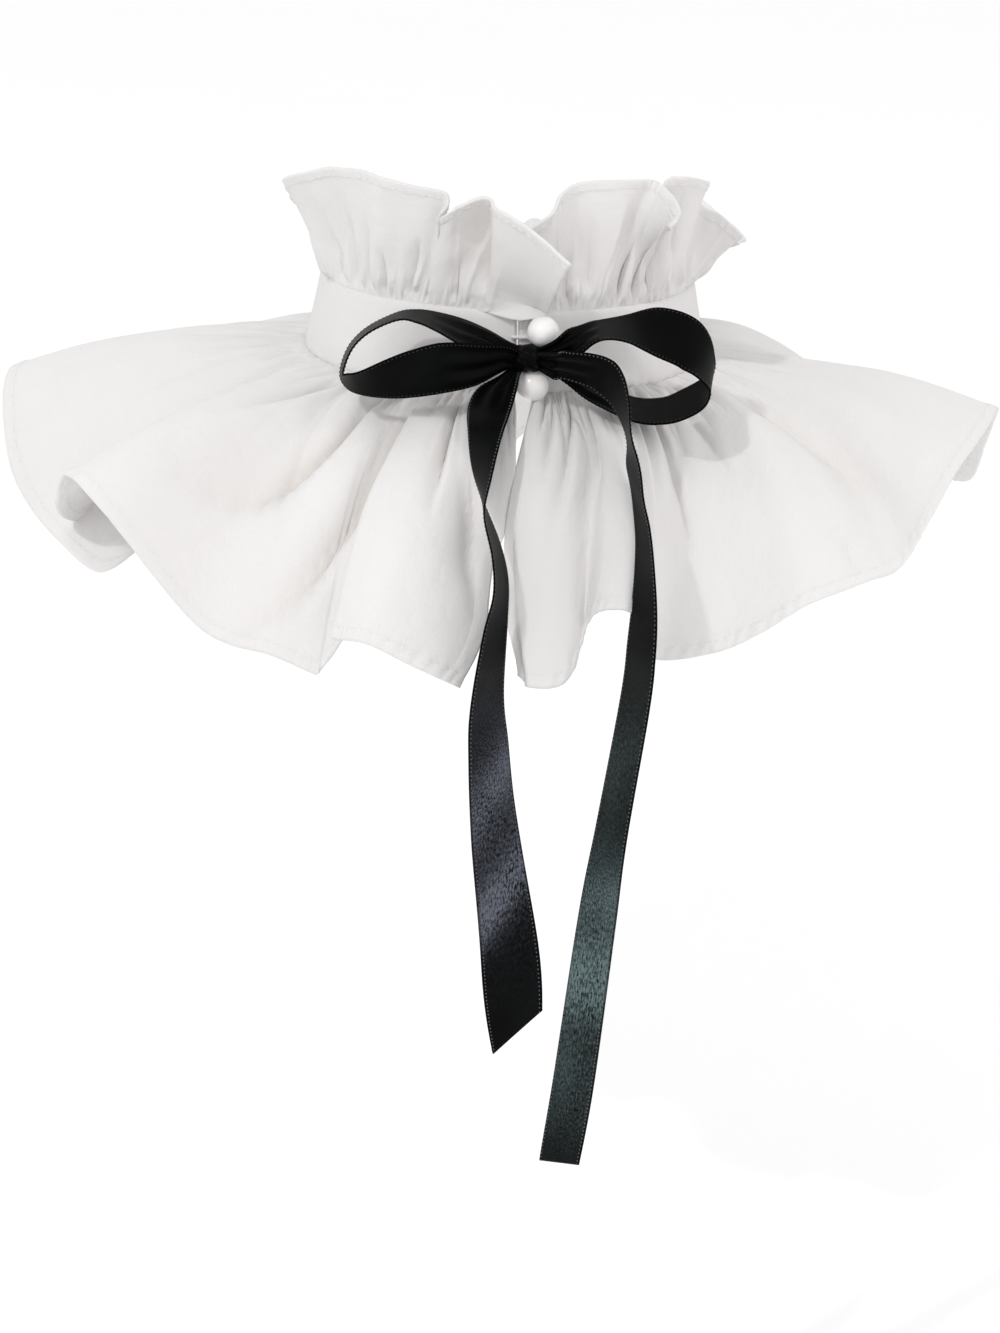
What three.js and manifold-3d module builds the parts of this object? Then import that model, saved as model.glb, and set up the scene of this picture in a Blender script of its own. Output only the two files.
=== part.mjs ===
import * as THREE from "three";
import { mergeVertices } from "three/addons/utils/BufferGeometryUtils.js";
import Module from "manifold-3d";

// A detachable collar: a cotton neck band with a standing ruffle above it and a gathered
// flounce below it, closed at the front by two pearl buttons in cord loops, with a satin
// bow tacked over the closure.
// Millimetres. The origin is the centre of the neck hole at the band's lower seam, +Z is up
// and the wearer faces -Y. Angles round the neck are degrees from the front opening towards -X.

// Driving dimensions
const BAND_LOWER_RADIUS = 60;
const BAND_UPPER_RADIUS = 55.5;
const BAND_HEIGHT = 22.5;
const BAND_THICKNESS = 2;
const CLOTH_THICKNESS = 1;
const RIBBON_THICKNESS = 1;
const SEAM_GAP = 0.3;
const BAND_RIM_TILT = 0.4;
const OPENING_HALF_ANGLE = 0.8;
const PEARL_DIAMETER = 9;
const PEARL_SHANK_DIAMETER = 2.4;
const PEARL_STANDOFF = 1.2;
const PEARL_CLEARANCE = 0.4;
const LOOP_CORD_DIAMETER = 1.2;
const LOOP_BEND_RADIUS = 2.6;
const LOOP_REACH = 8;
const KNOT_WIDTH = 11;
const KNOT_HEIGHT = 9;
const KNOT_DEPTH = 12.3;

// How finely each sheet is divided, across its seam and down from it
const BAND_STEPS = { across: 60, down: 1 };
const RUFFLE_STEPS = { across: 140, down: 5 };
const FLOUNCE_STEPS = { across: 196, down: 5 };
const RIBBON_STEPS = { across: 36, down: 2 };
const BALL_SIDES = { round: 14, up: 9 };
const SHANK_SIDES = 8;
const LOOP_STEPS = { bend: 8, along: 18, quarter: 3 };

// Gathers: how many fit in one turn of the neck, and how deep they are
const RUFFLE_GATHERS = { count: 35, depth: 1.7, peak: 0.22, fade: 0.8 };
const FLOUNCE_GATHERS = { count: 49, depth: 1.3, peak: 0.1, fade: 0.42 };

const columns = (names, rows) =>
  rows.map((row) => Object.fromEntries(names.split(" ").map((name, index) => [name, row[index]])));

// The flounce's hem: where each point of the seam ends up, round the neck, out and down
const FLOUNCE_HEM = columns("seam around reach drop swing sag", [
  [0, 7, 111, 70, -4, 0],
  [8, 14, 122, 61, -2.5, 0],
  [15, 19, 126, 55, -1, 0],
  [21, 23, 125, 55, 0, 0],
  [26, 26, 118, 58, 0, 0],
  [31, 27.5, 114, 69, 0, 0],
  [38, 34, 120, 65, 0, 0],
  [44, 43, 128, 59, 0, 0],
  [50, 50, 144, 32, 0, 0],
  [55, 54, 151, 20, 0, 0],
  [59, 61, 142, 34, 0, 0],
  [64, 66, 126, 50, 0, 0],
  [69, 61, 134, 52, 0, 0],
  [75, 67, 141, 45, 0, 0],
  [84, 79, 147, 34, 0, 0],
  [94, 87, 149, 18, 0, 0],
  [104, 97, 149, 13, 0, 0],
  [114, 110, 146, 24, 0, 0],
  [124, 122, 138, 42, 0, 0],
  [133, 132, 145, 30, 0, 0],
  [142, 143, 132, 52, 0, 0],
  [152, 152, 141, 40, 0, 0],
  [162, 163, 126, 60, 0, 0],
  [172, 172, 135, 50, 0, 0],
  [182, 183, 124, 62, 0, 0],
  [192, 192, 135, 50, 0, 0],
  [202, 203, 126, 60, 0, 0],
  [212, 212, 139, 42, 0, 0],
  [222, 223, 132, 52, 0, 0],
  [232, 233, 143, 34, 0, 0],
  [242, 245, 136, 46, 0, 0],
  [250, 255, 141, 44, 0, 0],
  [258, 265, 142, 42, 0, 0],
  [265, 272, 147, 26, 0, 0],
  [272, 286, 149, 9, 0, 0],
  [279, 298, 146, 18, 0, 0],
  [286, 306, 143, 27, 0, 0],
  [293, 311, 139, 38, 0, 0],
  [300, 316, 136, 42, 0, 0],
  [306, 322, 131, 47, 0, 0],
  [313, 328, 125, 55, 0, 0],
  [320, 334, 121, 60, 0, 0],
  [327, 342, 118, 60, 0, 0],
  [332, 345, 121, 50, 0, 0],
  [337, 347, 124, 44, 0, 0],
  [341, 350, 118, 46, 0, 0],
  [345, 351, 112, 54, 0, 0],
  [350, 354, 119, 65, 0.8, 0],
  [355, 359, 120, 66, 1.6, 0],
  [360, 361, 116, 64, 2.6, 0],
]);

// The ruffle's upper edge, measured the same way, with its rise above the band
const RUFFLE_EDGE = columns("seam around reach rise swing sag", [
  [0, -9, 82, 18, 0, 15],
  [6, -2, 76, 26, 0, 8],
  [12, 4, 71, 30, 0, 2],
  [17, 11, 66, 32, 0, 0],
  [23, 17, 68, 29, 0, 0],
  [27, 23, 62, 26, 0, 0],
  [31, 21, 63, 33, 0, 0],
  [38, 33, 59, 34, 0, 0],
  [47, 46, 59, 36, 0, 0],
  [58, 58, 62, 35, 0, 0],
  [68, 69, 66, 32, 0, 0],
  [78, 84, 66, 28, 0, 0],
  [88, 94, 66, 23, 0, 0],
  [98, 102, 62, 24, 0, 0],
  [108, 111, 69, 18, 0, 0],
  [120, 121, 70, 18, 0, 0],
  [132, 133, 80, 10, 0, 0],
  [144, 145, 80, 12, 0, 0],
  [156, 157, 89, 4, 0, 0],
  [168, 168, 85, 8, 0, 0],
  [180, 180, 91, 2, 0, 0],
  [192, 191, 86, 7, 0, 0],
  [204, 203, 90, 3, 0, 0],
  [216, 215, 81, 11, 0, 0],
  [228, 228, 82, 9, 0, 0],
  [240, 239, 71, 17, 0, 0],
  [250, 250, 78, 8, 0, 0],
  [260, 264, 71, 12, 0, 0],
  [268, 272, 70, 14, 0, 0],
  [277, 284, 63, 21, 0, 0],
  [285, 284, 60, 31, 0, 0],
  [294, 298, 56, 34, 0, 0],
  [301, 310, 55, 34, 0, 0],
  [307, 319, 60, 30, 0, 0],
  [311, 325, 70, 25, 0, 0],
  [316, 323, 70, 30, 0, 0],
  [321, 322, 64, 35, 0, 0],
  [328, 322, 56, 36, 0, 0],
  [335, 331, 53, 37, 0, 0],
  [342, 340, 53, 36, 0, 0],
  [348, 349, 58, 34, 0, 0],
  [353, 353, 63, 29, 0, 0],
  [360, 359, 62, 24, 0, 0],
]);

// Long folds that run down from a seam: place, drift on the way, width in degrees, depth
// (a valley is negative), and the share of the cloth's length where each is deepest
const FLOUNCE_FOLDS = columns("seam drift width depth deepest", [
  [6, 2, 3, 3, 0.5],
  [12, 2, 3, -4, 0.4],
  [22, 2, 3.5, 3, 0.5],
  [31, 1, 4, -5, 0.55],
  [41, 2, 4, 3, 0.5],
  [52, 2, 5, -3, 0.5],
  [62, 0, 4, 2, 0.5],
  [76, 0, 6, -2, 0.5],
  [128, 0, 6, -3, 0.5],
  [150, 0, 6, 3, 0.5],
  [205, 0, 6, -3, 0.5],
  [235, 0, 6, 3, 0.5],
  [283, 0, 5, 2, 0.5],
  [296, 2, 5, -4, 0.5],
  [307, 0, 4, 2.5, 0.5],
  [318, 0, 4, -3, 0.5],
  [330, 0, 3.5, 3, 0.5],
  [337, -1, 3, -3, 0.4],
  [345, 0, 3, 2.5, 0.5],
  [351, -2, 2.5, -3, 0.4],
]);
const RUFFLE_FOLDS = columns("seam drift width depth deepest", [
  [14, -2, 3, -2.5, 0.4],
  [26, 0, 3, -3, 0.5],
  [44, 0, 4, 2, 0.5],
  [60, 0, 4, -2, 0.5],
  [74, 2, 4, 2.5, 0.5],
  [112, 0, 5, 2.5, 0.5],
  [135, 0, 5, -3, 0.5],
  [158, 0, 5, 3, 0.5],
  [190, 0, 5, -3, 0.5],
  [225, 0, 5, 3, 0.5],
  [262, 0, 4, -2, 0.5],
  [290, 0, 4, -2.5, 0.5],
  [311, 2, 3, 3, 0.5],
  [322, 0, 3, -2, 0.5],
  [338, 0, 4, 2, 0.5],
]);

// Ribbon sections: centre, then the width's direction as a roll about Y and a tip towards -Y
const BOW_LOOP_LEFT = columns("x y z roll tip width", [
  [1.2, -66, 12.6, 240, 20, 4],
  [-4, -67.5, 14.8, 245, 30, 8],
  [-9.9, -70, 18.5, 250, 40, 11],
  [-16.3, -71, 20.5, 262, 50, 14],
  [-25, -70, 22.5, 270, 72, 15],
  [-34.6, -67, 22.3, 90, 80, 15],
  [-42.3, -66, 19, 100, 80, 15],
  [-47.6, -67, 13.5, 150, 84, 15],
  [-49.2, -71, 8, 90, 80, 15],
  [-43.6, -75, 6, 90, 50, 15],
  [-32.3, -79, 9.5, 88, 22, 15],
  [-22.4, -79, 12, 85, 8, 15],
  [-11.2, -75, 11.5, 80, 8, 12],
  [-4.4, -70.4, 12.4, 85, 8, 8],
  [0.2, -67, 11.8, 85, 8, 4],
]);
const BOW_LOOP_RIGHT = columns("x y z roll tip width", [
  [4.6, -66.4, 12.4, 100, 0, 4],
  [10.5, -70, 14.6, 100, -10, 7],
  [15.6, -72.5, 18, 95, -60, 11],
  [21.7, -73, 21.2, 95, -82, 15],
  [29.7, -73, 22, 90, -68, 15],
  [38.6, -73, 20.8, 85, -30, 15],
  [46.6, -72.5, 17.8, 65, -30, 15],
  [50.8, -73, 12, 20, -60, 15],
  [50.6, -75, 5.6, 20, -80, 15],
  [46.2, -76, 2.2, 90, -76, 15],
  [39.9, -75.5, -0.2, 90, -76, 15],
  [30.8, -73, 0.2, 90, -72, 15],
  [19.2, -70, 4.6, 100, -62, 12],
  [12, -67.5, 8.2, 110, -50, 7],
  [5, -64.6, 11, 110, -50, 4],
]);
const RIBBON_TAIL_LEFT = columns("x y z roll tip width", [
  [1.8, -65, 10.6, 20, 10, 3],
  [-2.6, -68.4, 7.4, 20, 20, 6.5],
  [-6, -72, 4.6, 12, 30, 12],
  [-8.6, -79, 0, 4, 44, 15],
  [-9.6, -91, -4, 0, 55, 15],
  [-10.8, -100, -12.5, 0, 75, 15],
  [-10.6, -107, -20, 0, 90, 15],
  [-8, -113, -30, 0, 100, 15],
  [-6.2, -118, -39, 0, 105, 15],
  [-6.8, -121, -49.5, 0, 106, 15],
  [-8.2, -121, -70.5, 0, 125, 15],
  [-7.2, -121, -84.5, 0, 136, 15],
  [-5.4, -121, -106, 0, 147, 15],
  [-1.5, -120, -139, 0, 180, 15],
  [2, -120, -168, 0, 186, 15],
]);
const RIBBON_TAIL_RIGHT = columns("x y z roll tip width", [
  [3.8, -67, 12, 90, 10, 3.5],
  [9.4, -72.6, 11.4, 90, 20, 8],
  [15, -78, 12.2, 85, 34, 12],
  [20.6, -83, 11, 62, 34, 15],
  [24.8, -87, 7.6, 35, 48, 15],
  [27.4, -91, 0.8, 12, 70, 15],
  [28.8, -96, -6.4, 0, 77, 15],
  [30.4, -102, -15, 0, 76, 15],
  [31.6, -110, -22.5, 0, 75, 15],
  [32, -118, -30.5, 0, 73, 15],
  [31.8, -126, -41.5, 0, 67, 15],
  [31.2, -129, -52.5, 0, 62, 15],
  [30, -129, -67.5, 0, 58, 15],
  [25.6, -129, -104.5, 0, 56, 15],
  [22.6, -129, -131, 0, 51, 15],
  [18.4, -127, -180, 0, 48, 15],
  [15.2, -126, -204, 0, 48, 15],
]);
// How much longer one edge of each cut end is: the left tail is cut on the slant
const TAIL_CUT = { left: 15, right: -3 };

const BUTTONS = [
  { name: "upper", x: 6.2, z: 18.4 },
  { name: "lower", x: 3.9, z: 3.9 },
];
const KNOT_PLACE = { x: 2.6, z: 12.4 };

const wasm = await Module();
wasm.setup();

const radians = THREE.MathUtils.degToRad;
const bandRadius = (height) =>
  THREE.MathUtils.lerp(BAND_LOWER_RADIUS, BAND_UPPER_RADIUS, height / BAND_HEIGHT);
const onNeck = (around, reach, height) =>
  new THREE.Vector3(-reach * Math.sin(radians(around)), -reach * Math.cos(radians(around)), height);

// A smooth curve through four values, between the second and the third
function smooth([a, b, c, d], t) {
  const bend = 2 * a - 5 * b + 4 * c - d;
  const twist = 3 * b - a + d - 3 * c;
  return b + 0.5 * t * (c - a + t * (bend + t * twist));
}

// Reads a table between its rows; place counts rows from 0
function between(rows, place, column) {
  const last = rows.length - 1;
  const first = Math.min(Math.floor(place), last - 1);
  const near = [-1, 0, 1, 2].map((step) => rows[THREE.MathUtils.clamp(first + step, 0, last)][column]);
  return smooth(near, place - first);
}

// Where an angle on the seam falls between the rows of a table
function rowAt(rows, seam) {
  const next = Math.max(1, rows.findIndex((row) => row.seam >= seam));
  const [from, to] = [rows[next - 1].seam, rows[next].seam];
  return next - 1 + (seam - from) / (to - from);
}

// A wall of even thickness round a sheet given as surface(u, v), both from 0 to 1
function wall(surface, steps, thickness) {
  const [across, down] = [steps.across + 1, steps.down + 1];
  const middle = [];
  for (let i = 0; i < across; i += 1) {
    for (let j = 0; j < down; j += 1) middle.push(surface(i / steps.across, j / steps.down));
  }
  const at = (i, j) =>
    middle[THREE.MathUtils.clamp(i, 0, steps.across) * down + THREE.MathUtils.clamp(j, 0, steps.down)];
  const positions = [];
  for (const side of [0.5, -0.5]) {
    for (let i = 0; i < across; i += 1) {
      for (let j = 0; j < down; j += 1) {
        const along = at(i + 1, j).clone().sub(at(i - 1, j));
        const onward = at(i, j + 1).clone().sub(at(i, j - 1));
        const out = along.cross(onward).normalize();
        positions.push(...at(i, j).clone().addScaledVector(out, side * thickness).toArray());
      }
    }
  }
  const faces = [];
  const quad = (a, b, c, d) => faces.push(a, b, c, a, c, d);
  const front = (i, j) => i * down + j;
  const back = (i, j) => across * down + front(i, j);
  for (let i = 0; i < steps.across; i += 1) {
    for (let j = 0; j < steps.down; j += 1) {
      quad(front(i, j), front(i + 1, j), front(i + 1, j + 1), front(i, j + 1));
      quad(back(i, j), back(i, j + 1), back(i + 1, j + 1), back(i + 1, j));
    }
    quad(front(i, 0), back(i, 0), back(i + 1, 0), front(i + 1, 0));
    const end = steps.down;
    quad(front(i, end), front(i + 1, end), back(i + 1, end), back(i, end));
  }
  for (let j = 0; j < steps.down; j += 1) {
    const end = steps.across;
    quad(front(0, j), front(0, j + 1), back(0, j + 1), back(0, j));
    quad(front(end, j), back(end, j), back(end, j + 1), front(end, j + 1));
  }
  const geometry = new THREE.BufferGeometry();
  geometry.setAttribute("position", new THREE.Float32BufferAttribute(positions, 3));
  geometry.setIndex(faces);
  geometry.computeVertexNormals();
  return geometry;
}

// Adds ripples to a sheet, each measured square to the sheet
function rippled(sheet, height) {
  const step = 0.002;
  return (u, v) => {
    const along = sheet(u + step, v).sub(sheet(u - step, v));
    const onward = sheet(u, v + step).sub(sheet(u, v - step));
    return sheet(u, v).addScaledVector(along.cross(onward).normalize(), height(u, v));
  };
}

const seamAngle = (u) => THREE.MathUtils.lerp(OPENING_HALF_ANGLE, 360 - OPENING_HALF_ANGLE, u);

// Fine gathers: none at the seam, deepest just past it, and gone further out
function gathers(shape, u, v) {
  const drift = 1.3 * Math.sin(9 * Math.PI * u) + 0.8 * Math.sin(22 * Math.PI * u + 1);
  const uneven = 0.75 + 0.35 * Math.sin(14 * Math.PI * u + 2);
  const rise = Math.min(1, v / shape.peak);
  const fall = THREE.MathUtils.clamp((shape.fade - v) / (shape.fade - shape.peak), 0, 1);
  return shape.depth * uneven * rise * fall * Math.sin(2 * Math.PI * shape.count * u + drift);
}

// Long folds from a table, each a rounded ridge or valley that starts and ends gently
function folds(rows, u, v) {
  const seam = seamAngle(u);
  let height = 0;
  for (const fold of rows) {
    const away = (seam - fold.seam - fold.drift * v) / fold.width;
    const share = v / fold.deepest;
    height += fold.depth * Math.exp(-away * away) * share * Math.exp(1 - share);
  }
  return height;
}

// A sheet that leaves the seam in one direction and bends over to its free edge. The bend
// lies part of the way ahead to the edge, and out and up from there by shares of the length.
// A row's swing moves it round the neck and its sag lowers it, in millimetres.
function hangingSheet(start, table, edge, leaving) {
  return (u, v) => {
    const seam = seamAngle(u);
    const place = rowAt(table, seam);
    const read = (column) => between(table, place, column);
    const [from, to] = [start(seam), edge(read)];
    const stretch = from.distanceTo(to);
    const bend = from.clone().lerp(to, leaving.ahead);
    bend.addScaledVector(onNeck(seam, 1, 0), leaving.out * stretch);
    bend.addScaledVector(onNeck(seam + 90, 1, 0), read("swing"));
    bend.z += leaving.up * stretch - read("sag");
    return new THREE.Vector3()
      .addScaledVector(from, (1 - v) * (1 - v))
      .addScaledVector(bend, 2 * v * (1 - v))
      .addScaledVector(to, v * v);
  };
}

function flounceSurface() {
  const start = (seam) =>
    onNeck(seam, BAND_LOWER_RADIUS - BAND_THICKNESS / 2, -SEAM_GAP - CLOTH_THICKNESS / 2);
  const edge = (read) => onNeck(read("around"), read("reach"), -read("drop"));
  const sheet = hangingSheet(start, FLOUNCE_HEM, edge, { ahead: 0.15, out: 0.34, up: 0.06 });
  return rippled(sheet, (u, v) => gathers(FLOUNCE_GATHERS, u, v) + folds(FLOUNCE_FOLDS, u, v));
}

function ruffleSurface() {
  const foot = BAND_HEIGHT + BAND_RIM_TILT + SEAM_GAP;
  const start = (seam) => onNeck(seam, BAND_UPPER_RADIUS - BAND_THICKNESS / 2, foot);
  const edge = (read) => onNeck(read("around"), read("reach"), BAND_HEIGHT + read("rise"));
  const sheet = hangingSheet(start, RUFFLE_EDGE, edge, { ahead: 0.3, out: 0, up: 0.24 });
  return rippled(sheet, (u, v) => gathers(RUFFLE_GATHERS, u, v) - folds(RUFFLE_FOLDS, u, v));
}

function bandSurface(u, v) {
  const height = v * BAND_HEIGHT;
  return onNeck(seamAngle(u), bandRadius(height) - BAND_THICKNESS / 2, height);
}

// A flat ribbon through its sections; slant lengthens one edge of the cut end
function ribbon(rows, slant = 0) {
  const surface = (u, v) => {
    const place = u * (rows.length - 1);
    const [x, y, z, roll, tip, width] = ["x", "y", "z", "roll", "tip", "width"].map((name) =>
      between(rows, place, name));
    const across = new THREE.Vector3(
      Math.cos(radians(tip)) * Math.cos(radians(roll)),
      -Math.sin(radians(tip)),
      Math.cos(radians(tip)) * Math.sin(radians(roll)),
    );
    const centre = new THREE.Vector3(x, y, z).addScaledVector(across, (v - 0.5) * width);
    centre.z -= slant * (v - 0.5) * u ** 8;
    return centre;
  };
  return wall(surface, RIBBON_STEPS, RIBBON_THICKNESS);
}

// Mesh to solid and back, for the pieces that are cut or joined
function solid(geometry) {
  const bare = geometry.clone();
  bare.deleteAttribute("normal");
  bare.deleteAttribute("uv");
  const merged = mergeVertices(bare, 1e-4);
  return new wasm.Manifold(new wasm.Mesh({
    numProp: 3,
    vertProperties: new Float32Array(merged.attributes.position.array),
    triVerts: new Uint32Array(merged.index.array),
  }));
}

function meshOf(body) {
  const { numProp, vertProperties, triVerts } = body.getMesh();
  const geometry = new THREE.BufferGeometry();
  geometry.setAttribute("position", new THREE.Float32BufferAttribute(vertProperties, numProp));
  geometry.setIndex([...triVerts]);
  geometry.computeVertexNormals();
  return geometry;
}

function pearl({ x, z }) {
  const radius = PEARL_DIAMETER / 2;
  const surface = bandRadius(z) + SEAM_GAP;
  const angle = Math.asin(x / surface);
  const ball = new THREE.SphereGeometry(radius, BALL_SIDES.round, BALL_SIDES.up);
  ball.translate(0, -(radius + PEARL_STANDOFF), 0);
  const thin = PEARL_SHANK_DIAMETER / 2;
  const shank = new THREE.CylinderGeometry(thin, thin, radius, SHANK_SIDES);
  shank.translate(0, -radius / 2, 0);
  const body = solid(ball).add(solid(shank));
  const geometry = meshOf(body);
  geometry.translate(0, -surface, z);
  geometry.rotateZ(angle);
  return geometry;
}

function pearlRoom({ x, z }) {
  const reach = bandRadius(z) + SEAM_GAP + PEARL_STANDOFF + PEARL_DIAMETER / 2;
  const radius = PEARL_DIAMETER / 2 + PEARL_CLEARANCE;
  const ball = new THREE.SphereGeometry(radius, BALL_SIDES.round, BALL_SIDES.up);
  const angle = Math.asin(x / (bandRadius(z) + SEAM_GAP));
  ball.translate(reach * Math.sin(angle), -reach * Math.cos(angle), z);
  return solid(ball);
}

// A cord from the left side of the opening, round the shank of its pearl and back
function buttonLoop({ x, z }) {
  const radius = LOOP_CORD_DIAMETER / 2;
  const flat = [[x - LOOP_REACH, LOOP_BEND_RADIUS]];
  for (let turn = 0; turn <= LOOP_STEPS.bend; turn += 1) {
    const angle = Math.PI * (0.5 - turn / LOOP_STEPS.bend);
    flat.push([x + LOOP_BEND_RADIUS * Math.cos(angle), LOOP_BEND_RADIUS * Math.sin(angle)]);
  }
  flat.push([x - LOOP_REACH, -LOOP_BEND_RADIUS]);
  const points = flat.map(([side, lift]) => {
    const reach = bandRadius(z + lift) + SEAM_GAP + radius;
    const angle = Math.asin(side / reach);
    return new THREE.Vector3(reach * Math.sin(angle), -reach * Math.cos(angle), z + lift);
  });
  const path = new THREE.CatmullRomCurve3(points, false, "centripetal");
  const section = new THREE.Shape();
  section.absarc(0, 0, radius, 0, 2 * Math.PI);
  const steps = { steps: LOOP_STEPS.along, curveSegments: LOOP_STEPS.quarter };
  return new THREE.ExtrudeGeometry(section, { extrudePath: path, ...steps });
}

// The knot as an oval body seated on the band, grown by the room that its neighbours leave
function knotBody(room = 0) {
  const { x, z } = KNOT_PLACE;
  const ball = new THREE.SphereGeometry(0.5, BALL_SIDES.round, BALL_SIDES.up);
  ball.scale(KNOT_WIDTH + 2 * room, KNOT_DEPTH + 2 * room, KNOT_HEIGHT + 2 * room);
  ball.translate(x, -(bandRadius(z) + SEAM_GAP + KNOT_DEPTH / 2), z);
  return solid(ball);
}

function knot() {
  return meshOf(BUTTONS.reduce((body, button) => body.subtract(pearlRoom(button)), knotBody()));
}

// A ribbon that starts inside the knot, cut off where it comes out
function tiedRibbon(rows, slant) {
  return meshOf(solid(ribbon(rows, slant)).subtract(knotBody(SEAM_GAP)));
}

const cotton = () =>
  new THREE.MeshStandardMaterial({ color: 0xf1efed, roughness: 0.9, side: THREE.DoubleSide });
const satin = () => new THREE.MeshStandardMaterial({ color: 0x0b0c0f, roughness: 0.35 });
const elastic = () => new THREE.MeshStandardMaterial({ color: 0xe9e7e3, roughness: 0.8 });
const nacre = () => new THREE.MeshStandardMaterial({ color: 0xf3f1ee, roughness: 0.2 });

const collar = new THREE.Group();
function piece(name, geometry, material) {
  const mesh = new THREE.Mesh(geometry, material);
  mesh.name = name;
  collar.add(mesh);
}

piece("neck_band", wall(bandSurface, BAND_STEPS, BAND_THICKNESS), cotton());
piece("top_ruffle", wall(ruffleSurface(), RUFFLE_STEPS, CLOTH_THICKNESS), cotton());
piece("shoulder_flounce", wall(flounceSurface(), FLOUNCE_STEPS, CLOTH_THICKNESS), cotton());
for (const button of BUTTONS) {
  piece(`pearl_button_${button.name}`, pearl(button), nacre());
  piece(`button_loop_${button.name}`, buttonLoop(button), elastic());
}
piece("bow_knot", knot(), satin());
piece("bow_loop_left", tiedRibbon(BOW_LOOP_LEFT), satin());
piece("bow_loop_right", tiedRibbon(BOW_LOOP_RIGHT), satin());
piece("ribbon_tail_left", tiedRibbon(RIBBON_TAIL_LEFT, TAIL_CUT.left), satin());
piece("ribbon_tail_right", tiedRibbon(RIBBON_TAIL_RIGHT, TAIL_CUT.right), satin());

export default collar;
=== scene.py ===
"""A detachable collar: cotton band, ruffle and flounce, pearls in cord loops, and a satin bow.

The CAD nodes are the frame. Each one is replaced by a finer piece, worked out in millimetres round
the same origin and turned into metres when its mesh is made.
"""

import logging
import math
from collections.abc import Sequence
from dataclasses import dataclass, field
from enum import Enum

import bpy
import numpy as np
from mathutils import Matrix, Vector


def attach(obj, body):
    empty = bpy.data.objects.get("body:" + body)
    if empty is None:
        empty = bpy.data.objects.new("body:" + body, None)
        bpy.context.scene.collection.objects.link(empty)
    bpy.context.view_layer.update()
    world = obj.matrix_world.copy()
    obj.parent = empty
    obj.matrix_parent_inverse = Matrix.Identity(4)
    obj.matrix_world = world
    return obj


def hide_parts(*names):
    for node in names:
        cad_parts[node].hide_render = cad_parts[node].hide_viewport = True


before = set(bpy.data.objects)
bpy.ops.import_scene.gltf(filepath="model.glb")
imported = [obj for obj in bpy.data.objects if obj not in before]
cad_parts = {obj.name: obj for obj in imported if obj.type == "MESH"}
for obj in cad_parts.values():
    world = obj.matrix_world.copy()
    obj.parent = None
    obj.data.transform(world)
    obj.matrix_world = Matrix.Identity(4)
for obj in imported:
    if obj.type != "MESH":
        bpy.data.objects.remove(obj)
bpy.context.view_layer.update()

LOG = logging.getLogger("collar")
MM = 0.001
BODY = "root"
TURN = 2 * math.pi
CREASE_SHARPNESS = 1.3
Grid = np.ndarray
Colour = tuple[float, float, float]


class Slot(Enum):
    """What a piece is made of."""

    COTTON = "cotton"
    SATIN = "satin"
    PEARL = "pearl"
    ELASTIC = "elastic"


class Held(Enum):
    """How a sheet is held."""

    GATHERED = "gathered"
    STRETCHED = "stretched"
    HUNG = "hung"


def smoothstep(low: float, high: float, value: Grid) -> Grid:
    """Rises smoothly from 0 at low to 1 at high."""
    share = np.clip((value - low) / (high - low), 0, 1)
    return share * share * (3 - 2 * share)


def noise(x: Grid, y: Grid, seed: int, size: int = 128) -> Grid:
    """Smooth noise over a plane.

    Args:
        x: Place across, one knot a unit.
        y: Place down, one knot a unit.
        seed: Seed of the knots' values.
        size: How many knots there are before they repeat.

    Returns:
        Values from -1 to 1.
    """
    knots = np.random.default_rng(seed).uniform(-1, 1, (size, size))
    column, row = np.floor(x).astype(int), np.floor(y).astype(int)
    right, down = smoothstep(0, 1, x - column), smoothstep(0, 1, y - row)

    def knot(i: int, j: int) -> Grid:
        """The value of the knot i across and j down from each place."""
        return knots[(column + i) % size, (row + j) % size]

    top = knot(0, 0) * (1 - right) + knot(1, 0) * right
    bottom = knot(0, 1) * (1 - right) + knot(1, 1) * right
    return top * (1 - down) + bottom * down


@dataclass(frozen=True)
class Rows:
    """A short table with named columns, read smoothly between its rows."""

    names: str
    values: tuple[tuple[float, ...], ...]

    def column(self, name: str) -> Grid:
        """All the values of one column, or zeros where the table has no such column."""
        place = self.names.split().index(name) if name in self.names.split() else None
        return np.array([0.0 if place is None else row[place] for row in self.values])

    def read(self, place: Grid, name: str) -> Grid:
        """A column's values on a smooth curve through its rows.

        Args:
            place: Places counted in rows from 0.
            name: The column.

        Returns:
            One value for each place.
        """
        column = self.column(name)
        last = len(column) - 1
        first = np.clip(np.floor(place).astype(int), 0, last - 1)
        t = place - first
        a, b, c, d = (column[np.clip(first + step, 0, last)] for step in (-1, 0, 1, 2))
        bend = 2 * a - 5 * b + 4 * c - d
        twist = 3 * b - a + d - 3 * c
        return b + 0.5 * t * (c - a + t * (bend + t * twist))

    def place_of(self, value: Grid) -> Grid:
        """Where values of the first column fall between the rows."""
        return np.interp(value, self.column(self.names.split()[0]), np.arange(len(self.values)))

    def each(self) -> list[dict[str, float]]:
        """The rows as dictionaries."""
        return [dict(zip(self.names.split(), row)) for row in self.values]


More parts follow.
